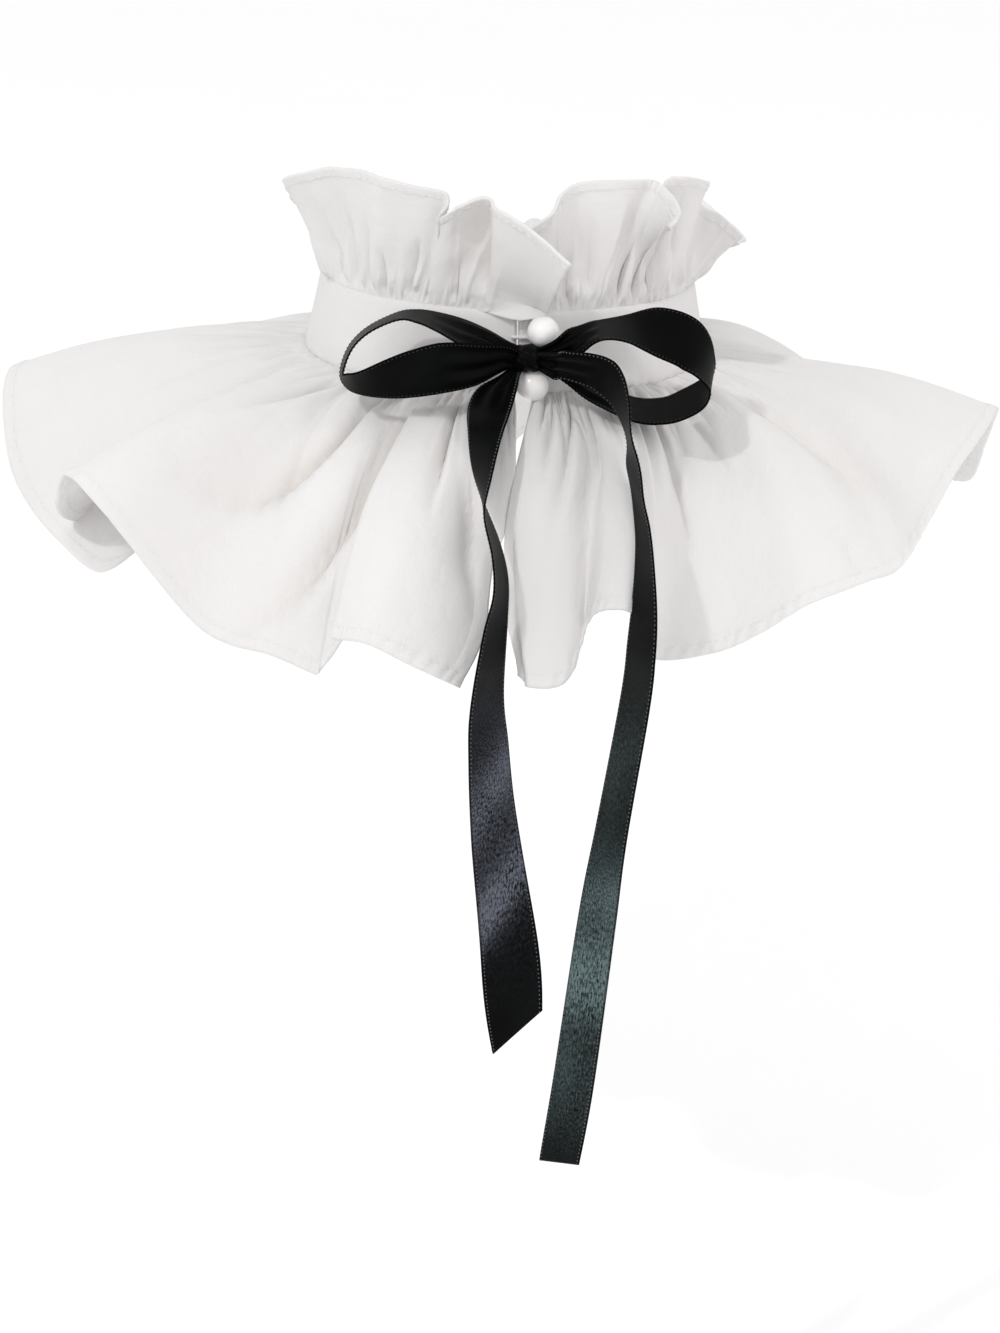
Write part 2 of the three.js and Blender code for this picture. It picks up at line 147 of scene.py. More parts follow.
# Where each point of a seam ends up at the free edge: its angle round the neck, its reach from
# the axis, its drop below the lower seam or rise above the upper one, and how far the cloth
# swings or sags on the way
FLOUNCE_HEM = Rows("seam around reach drop swing", (
    (0, 7.7, 118, 67.9, -4), (7.5, 14, 122, 61, -2.5), (14.5, 19.2, 124.5, 55.5, -1),
    (22.5, 23.4, 123, 55.7, 0), (24.4, 24.8, 120.8, 56.3, 0), (25.4, 24.2, 115.5, 57, 0),
    (27.3, 27.2, 116.2, 67.2, 0), (27.9, 27.8, 117.2, 68.8, 0), (28.8, 28.6, 117.8, 68.4, 0),
    (36, 33.7, 121, 64.6, 0), (44, 43, 128, 59, 0), (50, 50.7, 146, 27.3, 0),
    (54.5, 55.4, 150, 19.1, 0), (57, 59, 148, 28.4, 0), (60, 64.3, 140, 38.6, 0),
    (62.5, 66.6, 128, 44.4, 0), (65.5, 60.5, 124, 47, 0), (69.5, 60.2, 134, 52, 0),
    (75, 65.3, 141, 45.6, 0), (84, 79, 147, 34, 0), (94, 87, 149, 18, 0), (104, 97, 149, 13, 0),
    (114, 110, 146, 24, 0), (124, 122, 138, 42, 0), (133, 132, 145, 30, 0), (142, 143, 132, 52, 0),
    (152, 152, 141, 40, 0), (162, 163, 126, 60, 0), (172, 172, 135, 50, 0), (182, 183, 124, 62, 0),
    (192, 192, 135, 50, 0), (202, 203, 126, 60, 0), (212, 212, 139, 42, 0), (222, 223, 132, 52, 0),
    (232, 233, 143, 34, 0), (242, 245, 136, 46, 0), (250, 255, 141, 44, 0), (258, 269, 138.6, 38.4, 0),
    (265, 274, 142.9, 34.6, 0), (268.5, 278, 145, 20.5, 0), (272, 285, 147, 6.8, 0),
    (279, 298, 143.9, 15.1, 0), (286, 306.2, 143, 27.2, 0), (293, 310, 139, 39.9, 0),
    (300, 315.3, 136, 42.2, 0), (306, 322, 131, 46.5, 0), (313, 327.9, 125, 54.2, 0),
    (320, 334.1, 121, 59.2, 0), (327, 342, 118, 60, 0), (332, 345, 121, 50, 0), (337, 347, 124, 44, 0),
    (341, 350, 118, 46, 0), (345, 351, 112, 54, 0), (350, 354, 119, 65, 0.8), (355, 359, 120, 66, 1.6),
    (360, 361, 116, 64, 2.6),
))
RUFFLE_EDGE = Rows("seam around reach rise sag", (
    (0, -9, 82, 18, 15), (6, -2, 76, 26, 8), (12, 4, 71, 30, 2), (14.6, 7.4, 67, 31.2, 0),
    (17, 9.6, 66.5, 32.5, 0), (19.6, 13.6, 67.5, 30.7, 0), (23, 17, 68, 29, 0), (27, 23, 62, 26, 0),
    (31, 21, 63, 33, 0), (38, 33, 59, 34, 0), (47, 46, 59, 36, 0), (58, 58, 62, 35, 0),
    (68, 69, 66, 32, 0), (78, 84, 66, 28, 0), (88, 94, 66, 23, 0), (98, 102, 62, 24, 0),
    (108, 111, 69, 18, 0), (120, 121, 70, 18, 0), (132, 133, 80, 10, 0), (144, 145, 80, 12, 0),
    (156, 157, 89, -2, 0), (168, 168, 88, -5, 0), (180, 180, 89, -9, 0), (192, 191, 88, -8, 0),
    (204, 203, 89, -5, 0), (216, 215, 83, 7, 0), (228, 228, 82, 9, 0), (240, 239, 71, 17, 0),
    (250, 250, 78, 8, 0), (260, 266, 68.3, 9.9, 4), (268, 273, 67.9, 12.6, 5),
    (277, 281, 68.6, 15.7, 5), (285, 285, 63.2, 21.2, 4), (289.5, 288, 58.8, 24.1, 2),
    (293, 292, 60.3, 31, 0), (294.2, 294, 61.2, 32.4, 0), (296, 297, 61.1, 33.2, 0),
    (301, 309, 61.3, 36, 0), (307, 314, 58, 35.3, 0), (311, 315.7, 58, 28.4, 0),
    (316, 326.3, 73, 25.8, -7), (321, 319.2, 67, 29.3, -9), (326, 315.2, 58, 33.5, -4),
    (335, 318.3, 53, 35.2, 0), (342, 340, 53, 36, 0), (348, 349, 58, 34, 0), (353, 353, 63, 29, 0),
    (360, 359, 62, 24, 0),
))

# Long folds that run down from a seam: place, drift on the way, width in degrees, and depth,
# which is negative for a valley
FLOUNCE_FOLDS = Rows("seam drift width depth", (
    (62, 0, 4, 2), (76, 0, 6, -2), (128, 0, 6, -3), (150, 0, 6, 3), (205, 0, 6, -3), (235, 0, 6, 3),
    (283, 0, 5, 2), (307, 0, 4, 1.4), (318, 0, 4, -1.7), (330, 0, 3.5, 1.7),
))
RUFFLE_FOLDS = Rows("seam drift width depth", (
    (30, 0, 3, -1.5), (44, 0, 4, 2), (60, 0, 4, -2), (74, 2, 4, 2.5), (112, 0, 5, 2.5), (135, 0, 5, -3),
    (158, 0, 5, 3), (190, 0, 5, -3), (225, 0, 5, 3), (262, 0, 4, -2), (290, 0, 4, -2.5), (311, 2, 3, 3),
    (322, 0, 3, -2), (338, 0, 4, 2),
))

# Sharper creases: the seam angle, the share of the length where each starts, its drift, the share
# where it ends, its width in degrees on the steep and the gentle side, and its depth. A last
# number, where there is one, makes the drift come late
FLOUNCE_CREASES = Rows("seam start drift end steep gentle depth late", (
    (5, 0.02, 0, 0.3, 0.5, 1, -1.8), (8.4, 0.4, -7, 0.9, 0.8, 1.6, -3.2),
    (10.5, 0.01, -0.5, 0.22, 0.4, 0.9, -1.6), (14.2, 0.04, -3.2, 0.66, 0.35, 1.5, -4.4),
    (16.5, 0.01, 1, 0.18, 0.4, 0.8, -1.6), (19.5, 0.01, -1, 0.26, 0.5, 1, -1.8),
    (24.2, 0.05, 30, 1.15, 0.9, 3.2, -6, 3.6), (33.5, 0.04, 20, 0.86, 0.6, 3.2, -6.2, 2.5),
    (46, 0.04, 6, 0.55, 0.7, 2.2, -3), (58, 0.04, 4, 0.4, 0.6, 1.6, -2.4),
    (66, 0.05, 10, 0.8, 2.5, 2.2, 2.6), (73, 0.02, -5, 0.3, 0.5, 1.1, -2.2),
    (81.5, 0.01, -3, 0.18, 0.4, 0.9, -2), (96, 0.04, 4, 0.5, 0.6, 1.8, -1.1),
    (140, 0.04, 3, 0.7, 0.75, 1.8, -1.7), (164, 0.04, -3, 0.8, 0.75, 1.8, -1.8),
    (186, 0.03, 4, 0.7, 0.68, 1.8, -1.7), (214, 0.04, 2, 0.8, 0.75, 1.8, -1.8),
    (246, 0.05, -2, 0.7, 0.75, 1.8, -1.5), (268, 0.05, 4, 0.6, 0.75, 1.8, -1.3),
    (284, 0.04, -3, 0.5, 0.6, 1.8, -1), (301.2, 0.84, -1, 1, 0.5, 0.8, -1.2),
    (303, 0.15, -16, 1, 3, 3, -3.6), (319, 0.06, -5, 0.6, 0.6, 1.6, -1.6),
    (328.5, 0.1, -6, 0.85, 0.45, 1.5, -2.4), (333, 0.1, -4, 0.9, 1.6, 0.7, -2.4),
    (336, 0.03, 2, 0.3, 0.5, 1, -1.8), (342.2, 0.06, 1.5, 0.72, 1.3, 1.4, -2.5),
    (346, 0.06, 7, 0.72, 0.5, 1.7, -2.8), (349, 0.01, 0, 0.2, 0.4, 0.9, -1.6),
    (352, 0.04, 2.5, 0.5, 0.45, 1.2, -2.2), (355.5, 0.02, 0, 0.25, 0.5, 1, -1.8),
    (357.5, 0.62, -3, 1.3, 0.35, 6, -3.4),
))
RUFFLE_CREASES = Rows("seam start drift end steep gentle depth", (
    (10.8, 0.1, 6.5, 1.25, 0.7, 8, 3.8), (18.5, 0.02, 0.5, 0.46, 0.6, 2, 2),
    (28, 0.02, 0, 0.4, 0.5, 1.4, 1.6), (34, 0.02, 0, 0.6, 0.6, 2, 2.3),
    (42, 0.02, 1, 0.45, 0.5, 1.4, 1.5), (48.5, 0.03, 0, 0.64, 0.6, 2, 2.2),
    (52.5, 0.02, 1, 0.4, 0.5, 1.4, 1.6), (56.5, 0.03, -1, 0.66, 0.6, 2.2, 2.4),
    (64, 0.02, 2, 0.5, 0.6, 1.6, 1.7), (76, 0.02, 4, 0.6, 0.75, 1.8, -1.5),
    (96, 0.02, 2, 0.6, 0.75, 1.8, -1.5), (121, 0.02, 2, 0.7, 0.75, 1.8, -1.7),
    (149, 0.02, 0, 0.7, 0.75, 1.8, -1.7), (172, 0.02, 0, 0.7, 0.75, 1.8, -1.7),
    (206, 0.02, 0, 0.7, 0.75, 1.8, -1.7), (234, 0.02, 0, 0.7, 0.75, 1.8, -1.7),
    (256, 0.02, 0, 0.7, 0.75, 1.8, -1.5), (274, 0.02, 0, 0.7, 0.75, 1.44, -1.5),
    (295, 0.02, 2, 0.5, 0.6, 1.6, 1.6), (303, 0.25, -2, 1, 1.5, 2.5, 2),
    (316, 0.02, 6, 0.7, 0.6, 1.6, 1.8), (322, 0.02, 0, 0.4, 0.5, 1.4, 1.5),
    (328, 0.03, 0, 0.5, 0.6, 2, 2.3), (336, 0.25, 1.5, 1, 1.2, 1.2, -0.9),
    (338.4, 0.06, 3, 0.8, 0.7, 2, 1.9), (344.5, 0.02, 0, 0.45, 0.5, 1.6, 1.8),
    (350, 0.02, -1, 0.5, 0.6, 1.8, 1.8),
))

# Shifts of the two front ends on the way to the edge: towards +X, forwards and down
FLOUNCE_ENDS = Rows("share left left_out right right_out", (
    (0, 0, 0, 4.2, 0), (0.1, 0, 0, 3.8, 0.4), (0.22, 0.2, 0, 2.6, 0.8), (0.35, 0.8, 0.5, 1, 0.8),
    (0.47, 1.9, 0.5, -0.8, 1), (0.6, 2.2, 0.5, -2.4, 1.2), (0.72, 0.8, 0.5, -3.2, 0.8),
    (0.8, 1.9, 0.5, -3.5, 0.3), (0.87, 3.2, 0.3, -3.3, 0), (0.93, 2.6, 0, -1.8, 0), (1, 0.5, 0, 0, 0),
))
RUFFLE_ENDS = Rows("share left left_out left_down", (
    (0, 0.8, 5, 1.2), (0.05, 6.6, 4.4, 0.2), (0.1, 7.6, 3, -0.6), (0.16, 7.4, 1.4, -0.7),
    (0.24, 6.6, 0.5, -0.3), (0.34, 5.6, 0.3, 0), (0.5, 4, 0.6, 0), (0.75, 1.5, 0.4, 0), (1, 0, 0, 0),
))

# Ribbon sections: centre, then the width's direction as a roll about Y and a tip towards -Y
RIBBON_COLUMNS = "x y z roll tip width"
BOW_LOOP_LEFT = Rows(RIBBON_COLUMNS, (
    (1.4, -66, 12.8, 70, 141.6, 4), (-3.8, -67.5, 14.2, 57.4, 126.7, 8),
    (-10, -70, 17.6, 62.5, 116.7, 11), (-16.4, -71, 20, 81.4, 110.8, 14),
    (-23.7, -70, 22.6, 84.3, 98.7, 15), (-28.8, -69, 23.7, 80, 92, 15),
    (-33.9, -67, 23.2, 90, 85.8, 15), (-41.8, -66, 19.2, 84.9, 83.4, 15),
    (-46.9, -67, 14.2, 78, 82, 15), (-49.3, -70, 7.9, 76.5, 80.3, 15),
    (-47.9, -73, 6.1, 82.6, 64.8, 15), (-43.4, -75, 5.9, 87.7, 50.7, 15),
    (-31.9, -79, 9.3, 84.7, 19.7, 15), (-22.3, -79, 11.3, 87.3, 11.6, 15),
    (-11.5, -75, 11.6, 82.5, 4.2, 12), (-4.4, -70.4, 12.4, 85, 8, 8), (0.2, -67, 11.8, 85, 8, 4),
))
BOW_LOOP_RIGHT = Rows(RIBBON_COLUMNS, (
    (4.6, -66.4, 12.4, 100, 0, 4), (10.7, -70, 14.9, 102.5, 0, 7), (15.7, -72.5, 18.4, 97.6, -60, 11),
    (21.3, -73, 21.6, 85, -80, 15), (29.5, -73, 22.3, 84, -70.2, 15),
    (38.9, -73, 21.2, 84.7, -34.9, 15), (46.5, -72.5, 18.2, 62.6, -34, 15),
    (51.2, -73, 12.3, 25, -62, 15), (53.2, -74, 8.3, 45, -76, 15), (51.1, -75.5, 5.4, 80, -73, 15),
    (46.5, -76, 2.4, 95.3, -73.7, 15), (40.2, -75.5, -0.2, 98.3, -76.5, 15),
    (31.3, -73, -0.4, 102.3, -74.8, 15), (19.2, -70, 4.6, 100, -62, 12), (12, -67.5, 8.2, 110, -50, 7),
    (5, -64.6, 11, 110, -50, 4),
))
RIBBON_TAIL_LEFT = Rows(RIBBON_COLUMNS, (
    (1.8, -65, 10.6, 20, 10, 3), (-2.6, -68.4, 7.4, 20, 20, 6.5), (-6, -72, 4.6, 12, 30, 12),
    (-8.6, -79, 0, 4, 44, 15), (-10.4, -91, -4, 0, 55.7, 15), (-11.3, -100, -12.5, 0, 71.9, 15),
    (-10.8, -107, -20, 0, 90, 15), (-7.4, -113, -30, 0, 99.5, 15), (-6, -118, -39, 0, 107.6, 15),
    (-7.1, -121, -49.5, 0, 118.8, 15), (-8.7, -121, -70.5, 0, 129.7, 15),
    (-8, -121, -84.5, 0, 138.1, 15), (-5.9, -121, -106, 0, 145.7, 15), (-1, -120, -139, 0, 165, 15),
    (2.8, -120, -168.6, 0, 213, 15),
))
RIBBON_TAIL_RIGHT = Rows(RIBBON_COLUMNS, (
    (3.8, -67, 12, 90, 10, 3.5), (9.4, -72.6, 11.4, 90, 20, 8), (12, -78, 12.8, 88.9, 40.8, 12),
    (20.1, -83, 12.3, 64.4, 42.5, 15), (24.3, -87, 9.7, 65.9, 48.2, 15), (27, -91, 4.3, 72.2, 63.5, 15),
    (29, -96, -4.8, 90.3, 73.5, 15), (30.6, -102, -15, 0, 82.2, 15), (31.7, -110, -22.5, 0, 78.7, 15),
    (32.1, -118, -30.5, 0, 76.2, 15), (32, -126, -41.5, 0, 71.5, 15), (31.3, -129, -52.5, 0, 67.3, 15),
    (30.2, -129, -67.5, 0, 65.6, 15), (25.7, -129, -104.5, 0, 62.8, 15),
    (22.9, -129, -131, 0, 54.4, 15), (18.7, -127, -180, 0, 48.7, 15), (15.7, -126, -206, 0, 48.5, 15),
))


class Value:
    """A shader socket that takes part in Python arithmetic by adding Math nodes."""

    def __init__(self, shader: "Shader", socket: bpy.types.NodeSocket) -> None:
        """Wraps one output socket of a shader's tree."""
        self.shader = shader
        self.socket = socket

    def math(self, operation: str, *others: "Value | float") -> "Value":
        """Adds one Math node for the operation on self and the others."""
        operands = dict(enumerate((self, *others)))
        return self.shader.node("ShaderNodeMath", {"operation": operation}, operands)

    def __add__(self, other: "Value | float") -> "Value":
        """self + other."""
        return self.math("ADD", other)

    def __sub__(self, other: "Value | float") -> "Value":
        """self - other."""
        return self.math("SUBTRACT", other)

    def __rsub__(self, other: float) -> "Value":
        """other - self."""
        return (self * -1) + other

    def __mul__(self, other: "Value | float") -> "Value":
        """self * other."""
        return self.math("MULTIPLY", other)

    def __pow__(self, other: float) -> "Value":
        """self ** other."""
        return self.math("POWER", other)

    __radd__ = __add__
    __rmul__ = __mul__

    def sine(self) -> "Value":
        """The sine of self in radians."""
        return self.math("SINE")

    def size(self) -> "Value":
        """self without its sign."""
        return self.math("ABSOLUTE")

    def bell(self) -> "Value":
        """1 at 0, falling off smoothly on both sides."""
        return (self * self * -1).math("EXPONENT")

    def clamped(self) -> "Value":
        """self, kept between 0 and 1."""
        return self.shader.node("ShaderNodeClamp", inputs={"Value": self})

    def smooth(self, low: float, high: float) -> "Value":
        """Rises smoothly from 0 at low to 1 at high."""
        inputs = {"Value": self, "From Min": low, "From Max": high}
        return self.shader.node("ShaderNodeMapRange", {"interpolation_type": "SMOOTHSTEP"}, inputs, "Result")


class Nodes:
    """A node tree, with one method that adds any node."""

    def __init__(self, tree: bpy.types.NodeTree) -> None:
        """Takes the tree that the nodes go into."""
        self.tree = tree

    def add(self, kind: str, settings: dict | None = None, inputs: dict | None = None) -> bpy.types.Node:
        """Adds a node.

        Args:
            kind: The node's type.
            settings: Its properties, set before its sockets.
            inputs: Values, or outputs to link, by the socket's name or number.

        Returns:
            The node.
        """
        made = self.tree.nodes.new(kind)
        for name, value in (settings or {}).items():
            setattr(made, name, value)
        for key, value in (inputs or {}).items():
            socket = made.inputs[key]
            source = value.socket if isinstance(value, Value) else value
            if isinstance(source, bpy.types.NodeSocket):
                self.tree.links.new(source, socket)
            else:
                socket.default_value = (*source, 1.0) if socket.type == "RGBA" else source
        return made


class Shader(Nodes):
    """A material's nodes."""

    def __init__(self, name: str) -> None:
        """Starts an empty material.

        Args:
            name: The material's name.
        """
        self.material = bpy.data.materials.new(name)
        self.material.use_nodes = True
        super().__init__(self.material.node_tree)
        self.tree.nodes.clear()

    def node(
        self, kind: str, settings: dict | None = None, inputs: dict | None = None, output: str | int = 0
    ) -> Value:
        """Adds a node and returns one of its outputs."""
        return Value(self, self.add(kind, settings, inputs).outputs[output])

    def mix(self, factor: Value | float, first: Value | Colour, second: Value | Colour) -> Value:
        """A colour between two, by a factor."""
        return self.node("ShaderNodeMix", {"data_type": "RGBA"}, {0: factor, 6: first, 7: second}, 2)

    def place(self) -> Value:
        """Object coordinates in metres."""
        return self.node("ShaderNodeTexCoord", output="Object")

    def cloth(self) -> Value:
        """The flat cloth's own coordinates, in metres along and across."""
        return self.node("ShaderNodeUVMap", {"uv_map": "cloth"})

    def parts(self, vector: Value) -> list[Value]:
        """The three parts of a vector."""
        split = self.add("ShaderNodeSeparateXYZ", inputs={0: vector})
        return [Value(self, output) for output in split.outputs]

    def cloud(self, vector: Value, scale: float, detail: float = 3, rough: float = 0.5) -> Value:
        """Fractal noise from 0 to 1."""
        inputs = {"Vector": vector, "Scale": scale, "Detail": detail, "Roughness": rough}
        return self.node("ShaderNodeTexNoise", inputs=inputs, output="Fac")

    def streaks(self, vector: Value, scale: Colour, detail: float = 2, rough: float = 0.5) -> Value:
        """Fractal noise from 0 to 1, stretched by axis."""
        stretched = self.node("ShaderNodeMapping", inputs={"Vector": vector, "Scale": scale})
        return self.cloud(stretched, 1, detail, rough)

    def bump(self, height: Value, strength: float, distance: float, below: Value | None = None) -> Value:
        """A normal from a height in units of distance, on top of the one below."""
        inputs = {"Height": height, "Strength": strength, "Distance": distance}
        return self.node("ShaderNodeBump", inputs=inputs if below is None else {**inputs, "Normal": below})

    def principled(self, inputs: dict) -> Value:
        """A surface with the named inputs."""
        return self.node("ShaderNodeBsdfPrincipled", inputs=inputs)

    def finish(self, surface: Value) -> bpy.types.Material:
        """Links the surface to the material's output and returns the material."""
        self.add("ShaderNodeOutputMaterial", inputs={"Surface": surface})
        return self.material


@dataclass(frozen=True)
class Cotton:
    """White plain-weave cotton, matt and slightly see-through to light, with painted shade in its deep
    creases.
    """

    name: str = "cotton_poplin"
    white: Colour = (0.815, 0.803, 0.798)
    shade: Colour = (0.77, 0.755, 0.75)
    # painted shade: the darker, warmer colour of the cloth in deep creases
    crease: Colour = (0.76, 0.725, 0.695)
    thread: float = 0.00042
    slub_long: float = 60
    slub_fine: float = 900
    wrinkles: float = 38
    crumples: float = 110
    patches: float = 14
    wrinkle_depth: float = 0.004
    crumple_depth: float = 0.0014
    weave_depth: float = 0.00012
    relief: float = 0.3
    see_through: float = 0.16
    rough: float = 0.88

    def material(self) -> bpy.types.Material:
        """Builds the finish.

        Returns:
            The material, which reads the cloth's own coordinates.
        """
        shader = Shader(self.name)
        uv = shader.cloth()
        along, across, _ = shader.parts(uv)
        warp = (along * (math.pi / self.thread)).sine().size()
        weft = (across * (math.pi / self.thread)).sine().size()
        slub = shader.streaks(uv, (self.slub_fine, self.slub_long, 1))
        slub_down = shader.streaks(uv, (self.slub_long, self.slub_fine, 1))
        weave = warp * 0.3 + weft * 0.3 + slub * 0.15 + slub_down * 0.15
        wrinkled = (shader.cloud(uv, self.wrinkles, 3, 0.55) - 0.5).size()
        crumpled = shader.cloud(uv, self.crumples, 4, 0.6)
        normal = shader.bump(wrinkled, self.relief, self.wrinkle_depth)
        normal = shader.bump(crumpled, self.relief, self.crumple_depth, normal)
        normal = shader.bump(weave, self.relief, self.weave_depth, normal)
        tone = shader.cloud(uv, self.patches, 2) * 0.8 + slub * 0.05 + slub_down * 0.05
        # painted shade mask: how far each point lies in a crease, read from the mesh
        hollow = shader.node("ShaderNodeAttribute", {"attribute_name": "hollow"}, output="Fac")
        plain = shader.mix(tone.smooth(0.2, 0.7), self.shade, self.white)
        # painted shade: deep creases take the darker, warmer crease colour
        colour = shader.mix(hollow, plain, self.crease)
        cloth = shader.principled({
            "Base Color": colour,
            "Roughness": self.rough,
            "Specular IOR Level": 0.2,
            "Sheen Weight": 0.12,
            "Sheen Roughness": 0.5,
            "Normal": normal,
        })
        through = tuple((low + high) / 2 for low, high in zip(self.shade, self.white))
        light = shader.node("ShaderNodeBsdfTranslucent", inputs={"Color": through, "Normal": normal})
        both = shader.node("ShaderNodeMixShader", inputs={0: self.see_through, 1: cloth, 2: light})
        return shader.finish(both)


@dataclass(frozen=True)
class Thread:
    """Matt sewing thread with a fine twist."""

    name: str
    colour: Colour
    rough: float = 0.6
    darker: float = 0.85
    fibres: float = 9000

    def material(self) -> bpy.types.Material:
        """Builds the finish.

        Returns:
            The material, which reads Object coordinates.
        """
        shader = Shader(self.name)
        fibre = shader.cloud(shader.place(), self.fibres, 2)
        dark = tuple(self.darker * c for c in self.colour)
        return shader.finish(shader.principled({
            "Base Color": shader.mix(fibre.smooth(0.2, 0.8), dark, self.colour),
            "Roughness": self.rough,
            "Normal": shader.bump(fibre, 0.3, 0.00005),
        }))


@dataclass(frozen=True)
class PaintedGlint:
    """A soft slanting band of painted highlight in the satin's colour: height, slope, reach, strength."""

    height: float
    slope: float
    reach: float
    strength: float


@dataclass(frozen=True)
class Satin:
    """Black satin ribbon: long floats across the light, darker woven edges, and a painted cloudy shine and
    slanting painted highlights in its colour.
    """

    name: str = "black_satin"
    black: Colour = (0.0007, 0.0008, 0.0007)
    # painted shine: the dark grey mixed over the black in cloudy patches
    painted_cloud_sheen: Colour = (0.004, 0.0045, 0.005)
    # colour of the painted highlight bands
    painted_sheen: Colour = (0.085, 0.1, 0.112)
    width: float = 0.015
    border: float = 0.0009
    float_scale: Colour = (2600, 420, 1)
    grain_scale: float = 1700
    cloud_scale: float = 55
    painted_glints: tuple[PaintedGlint, ...] = ()

    def material(self) -> bpy.types.Material:
        """Builds the finish.

        Returns:
            The material, which reads the ribbon's own coordinates and Object coordinates.
        """
        shader = Shader(self.name)
        uv = shader.cloth()
        half = self.width / 2
        edge = (shader.parts(uv)[1] - half).size().smooth(half - self.border, half)
        floats = shader.streaks(uv, self.float_scale, 3, 0.6)
        grain = shader.cloud(uv, self.grain_scale, 3, 0.75)
        clouds = shader.cloud(uv, self.cloud_scale, 2)
        # painted shine: cloudy grey patches over the black stand in for the satin's shine
        colour = shader.mix((clouds * 0.7 + grain * 0.5).smooth(0.45, 0.95), self.black, self.painted_cloud_sheen)
        speck = grain ** 4 * 9 + (floats - 0.5) * 1.5 + (clouds - 0.5) * 1.5 + 0.05
        x, _, z = shader.parts(shader.place())
        # painted highlights: slanting bands placed by height on the ribbon, speckled by its grain
        for painted_glint in self.painted_glints:
            away = (z - x * painted_glint.slope - painted_glint.height) * (1 / painted_glint.reach)
            glint_paint = away.bell() * speck * painted_glint.strength
            colour = shader.mix(glint_paint.clamped(), colour, self.painted_sheen)
        normal = shader.bump(clouds, 0.12, 0.001)
        return shader.finish(shader.principled({
            "Base Color": shader.mix(edge * 0.7, colour, self.black),
            "Roughness": 0.36 + grain * 0.12 + edge * 0.2,
            "Specular IOR Level": 0.04,
            "Normal": shader.bump(floats * 0.6 + grain * 0.5, 0.35, 0.00012, normal),
        }))


@dataclass(frozen=True)
class Nacre:
    """A pearl's layered coat."""

    name: str = "pearl_coat"
    body: Colour = (0.83, 0.815, 0.8)
    rim: Colour = (0.78, 0.79, 0.82)
    blush: Colour = (0.86, 0.8, 0.79)
    depth: Colour = (0.002, 0.0018, 0.0016)

    def material(self) -> bpy.types.Material:
        """Builds the finish.

        Returns:
            The material, whose colour shifts softly towards the rim as a painted shine that follows the
            viewing angle.
        """
        shader = Shader(self.name)
        facing = shader.node("ShaderNodeLayerWeight", inputs={"Blend": 0.35}, output="Facing")
        veil = shader.cloud(shader.place(), 260, 3)
        layers = shader.cloud(shader.place(), 900, 2)
        # painted shine: the colour turns cooler towards the rim as the surface turns away from the view
        colour = shader.mix(facing.smooth(0.1, 0.9), self.body, self.rim)
        return shader.finish(shader.principled({
            "Base Color": shader.mix(veil.smooth(0.45, 0.75) * 0.35, colour, self.blush),
            "Roughness": 0.34 + layers * 0.1,
            "Specular IOR Level": 0.55,
            "Subsurface Weight": 0.35,
            "Subsurface Radius": self.depth,
            "Subsurface Scale": 1.0,
            "Coat Weight": 0.45,
            "Coat Roughness": 0.14,
            "Coat IOR": 1.55,
            "Normal": shader.bump(layers, 0.05, 0.0002),
        }))


def add_object(name: str, data: bpy.types.ID) -> bpy.types.Object:
    """Puts data in the scene as an object at the origin.

    Args:
        name: The object's name.
        data: Its mesh, camera or light.

    Returns:
        The object.
    """
    made = bpy.data.objects.new(name, data)
    bpy.context.scene.collection.objects.link(made)
    return made


def make_mesh(
    name: str, points: Grid, faces: Sequence, cloth: Grid | None = None, hollow: Grid | None = None
) -> bpy.types.Object:
    """Makes a smooth-shaded object from points in millimetres.

    Args:
        name: The piece's name.
        points: One row for each vertex.
        faces: Vertex numbers of each face.
        cloth: Flat cloth coordinates of each vertex, in metres.
        hollow: How far into a crease each vertex lies, from 0 to 1, which darkens the cotton there as
            painted shade.

    Returns:
        The object, at the origin.
    """
    mesh = bpy.data.meshes.new(name)
    mesh.from_pydata((np.asarray(points) * MM).tolist(), [], [list(map(int, face)) for face in faces])
    if cloth is not None:
        corners = np.zeros(len(mesh.loops), np.int32)
        mesh.loops.foreach_get("vertex_index", corners)
        layer = mesh.uv_layers.new(name="cloth")
        layer.data.foreach_set("uv", cloth[corners].astype(np.float32).ravel())
    # the painted crease shade, stored on the mesh for the cotton's colour
    if hollow is not None:
        layer = mesh.attributes.new("hollow", "FLOAT", "POINT")
        layer.data.foreach_set("value", hollow.astype(np.float32))
    mesh.polygons.foreach_set("use_smooth", [True] * len(mesh.polygons))
    mesh.validate()
    mesh.update()
    return add_object(name, mesh)


def declare(
    piece: bpy.types.Object, material: bpy.types.Material | None = None, node: str | None = None
) -> bpy.types.Object:
    """Dresses a piece and says what it rides, what it is made of and what it replaces.

    Args:
        piece: The piece.
        material: Its material, unless it has one.
        node: The CAD node that it replaces, if it does.

    Returns:
        The piece.
    """
    if material is not None:
        piece.data.materials.append(material)
    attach(piece, BODY)
    if node is not None:
        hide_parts(node)
    return piece


def unit(vectors: Grid) -> Grid:
    """Vectors at length 1."""
    return vectors / np.maximum(np.linalg.norm(vectors, axis=-1, keepdims=True), 1e-9)


def outward(middle: Grid) -> Grid:
    """The normal of a grid of points at each point."""
    return unit(np.cross(np.gradient(middle, axis=0), np.gradient(middle, axis=1)))


def travelled(points: Grid, axis: int) -> Grid:
    """Distances from the first point along an axis of a grid of points."""
    steps = np.linalg.norm(np.diff(points, axis=axis), axis=-1)
    return np.insert(np.cumsum(steps, axis=axis), 0, 0, axis=axis)


def flat_grid(along: Grid, across: Grid) -> Grid:
    """Flat cloth coordinates over a grid."""
    return np.stack(np.meshgrid(along, across, indexing="ij"), -1)


